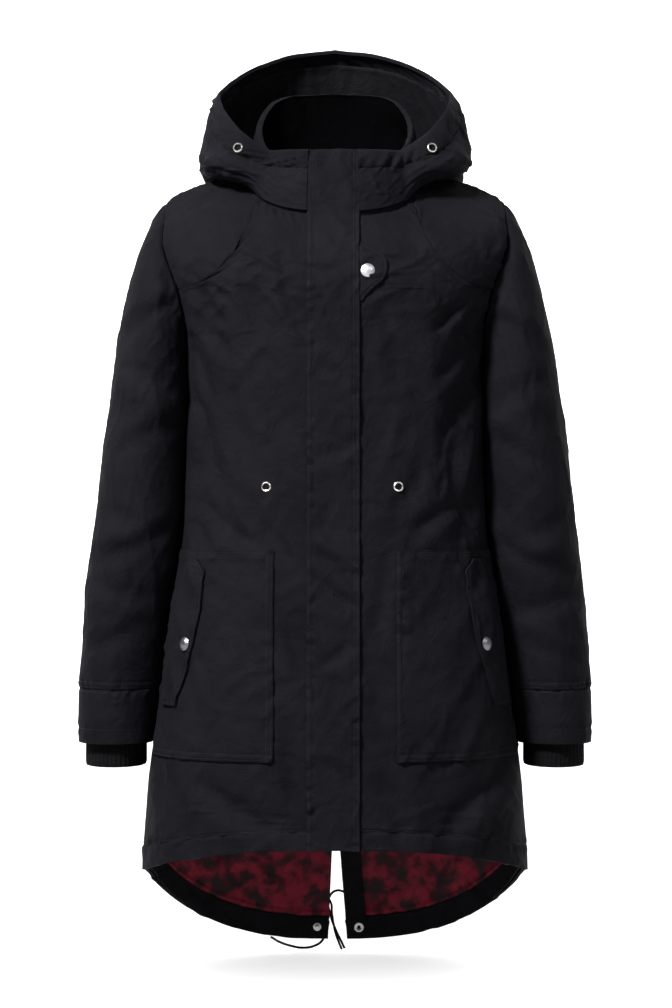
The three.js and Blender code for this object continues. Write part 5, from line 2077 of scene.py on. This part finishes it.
@dataclass
class Studio:
    """The pale floor, the lamps and the camera."""

    distance: float = 3.0
    height: float = -0.401
    lens: float = 89.3
    floor: float = -0.96
    backdrop: float = 7.0
    ambient: float = 0.1
    key_power: float = 408.0
    key_size: float = 0.7
    key_place: tuple[float, float, float] = (-1.5, -1.9, 1.75)

    def set_camera(self) -> None:
        """Places the camera at the photo's angle."""
        data = bpy.data.cameras.new("view")
        data.lens = self.lens
        data.sensor_width = 36
        data.clip_end = 60
        camera = put_in_scene("view", data)
        camera.location = (0.0012, -self.distance, self.height)
        camera.rotation_euler = (math.pi / 2, 0, 0)
        bpy.context.scene.camera = camera

    def build(self) -> None:
        """Makes the floor, the world and the lamps."""
        floor = self._sheet("floor", 16.0, self._pale())
        for vert in floor.data.vertices:
            vert.co = (vert.co.x, vert.co.y + 6, self.floor)
        wall = self._sheet("backdrop", 22.0, self._glow())
        for vert in wall.data.vertices:
            vert.co = (vert.co.x, self.backdrop, self.floor + 22 + vert.co.y)
        world = bpy.data.worlds.new("studio")
        world.use_nodes = True
        background = world.node_tree.nodes["Background"]
        background.inputs["Color"].default_value = (1.0, 1.0, 1.0, 1.0)
        background.inputs["Strength"].default_value = self.ambient
        bpy.context.scene.world = world
        bpy.context.scene.view_settings.view_transform = "Standard"
        key = bpy.data.lights.new("key", "AREA")
        key.shape = "DISK"
        key.size = self.key_size
        key.energy = self.key_power
        self._hang(key, self.key_place, floor, "EXCLUDE")
        self._lamp("fill", (1.0, -0.8, 0.6), 1.1, 30, floor, "EXCLUDE")
        self._lamp("over_floor", (0.0, -1.0, 0.5), 2.4, 60, floor, "INCLUDE")

    def _lamp(
        self,
        name: str,
        place: tuple[float, float, float],
        strength: float,
        angle: float,
        floor: bpy.types.Object,
        part: str,
    ) -> None:
        """A large far lamp that lights the coat or the floor.

        Args:
            name: The lamp's name.
            place: The way that its light comes from.
            strength: Its power.
            angle: How wide it looks, in degrees.
            floor: The floor.
            part: INCLUDE to light the floor alone, EXCLUDE to light all but the floor.
        """
        data = bpy.data.lights.new(name, "SUN")
        data.energy = strength
        data.angle = math.radians(angle)
        self._hang(data, place, floor, part)

    def _hang(
        self, data: bpy.types.Light, place: tuple[float, float, float], floor: bpy.types.Object, part: str
    ) -> None:
        """Hangs a lamp, turns it to the coat and says whether it lights the floor.

        Args:
            data: The lamp.
            place: Where it hangs.
            floor: The floor.
            part: INCLUDE to light the floor alone, EXCLUDE to light all but the floor.
        """
        lamp = put_in_scene(data.name, data)
        lamp.location = place
        lamp.rotation_euler = (Vector((0, 0, -0.35)) - Vector(place)).to_track_quat("-Z", "Y").to_euler()
        lit = bpy.data.collections.new(f"{data.name}_on_floor")
        lit.objects.link(floor)
        lit.collection_objects[0].light_linking.link_state = part
        lamp.light_linking.receiver_collection = lit

    def _sheet(self, name: str, size: float, material: bpy.types.Material) -> bpy.types.Object:
        """A flat sheet of the studio.

        Args:
            name: Its name.
            size: Half its side in metres.
            material: Its finish.

        Returns:
            The sheet.
        """
        bm = bmesh.new()
        bmesh.ops.create_grid(bm, x_segments=2, y_segments=2, size=size)
        mesh = bpy.data.meshes.new(name)
        bm.to_mesh(mesh)
        bm.free()
        mesh.materials.append(material)
        return put_in_scene(name, mesh)

    def _pale(self) -> bpy.types.Material:
        """The floor's matt pale finish.

        Returns:
            The material.
        """
        pale = bpy.data.materials.new("pale_floor")
        pale.use_nodes = True
        shader = pale.node_tree.nodes["Principled BSDF"]
        shader.inputs["Base Color"].default_value = (0.8, 0.8, 0.8, 1)
        shader.inputs["Emission Color"].default_value = (1.0, 1.0, 1.0, 1)
        shader.inputs["Emission Strength"].default_value = 0.6
        shader.inputs["Roughness"].default_value = 0.95
        shader.inputs["Specular IOR Level"].default_value = 0.0
        return pale

    def _glow(self) -> bpy.types.Material:
        """The finish of the evenly lit white backdrop.

        Returns:
            The material.
        """
        glow = bpy.data.materials.new("backdrop_white")
        glow.use_nodes = True
        shader = glow.node_tree.nodes["Principled BSDF"]
        shader.inputs["Base Color"].default_value = (0.9, 0.9, 0.9, 1)
        shader.inputs["Emission Color"].default_value = (1.0, 1.0, 1.0, 1)
        shader.inputs["Emission Strength"].default_value = 1.0
        return glow


def main() -> None:
    """Builds the coat on its frame."""
    logging.basicConfig(level=logging.INFO, format="%(message)s")
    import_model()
    studio = Studio()
    studio.set_camera()
    tailor = Tailor(Finishes())
    HemCords(tailor).build()
    neck = Neck(tailor)
    Body(tailor).build()
    Patches(tailor, neck).build()
    Sleeves(tailor).build()
    neck.build()
    Fittings(tailor, neck).build()
    studio.build()


if __name__ == "__main__":
    main()
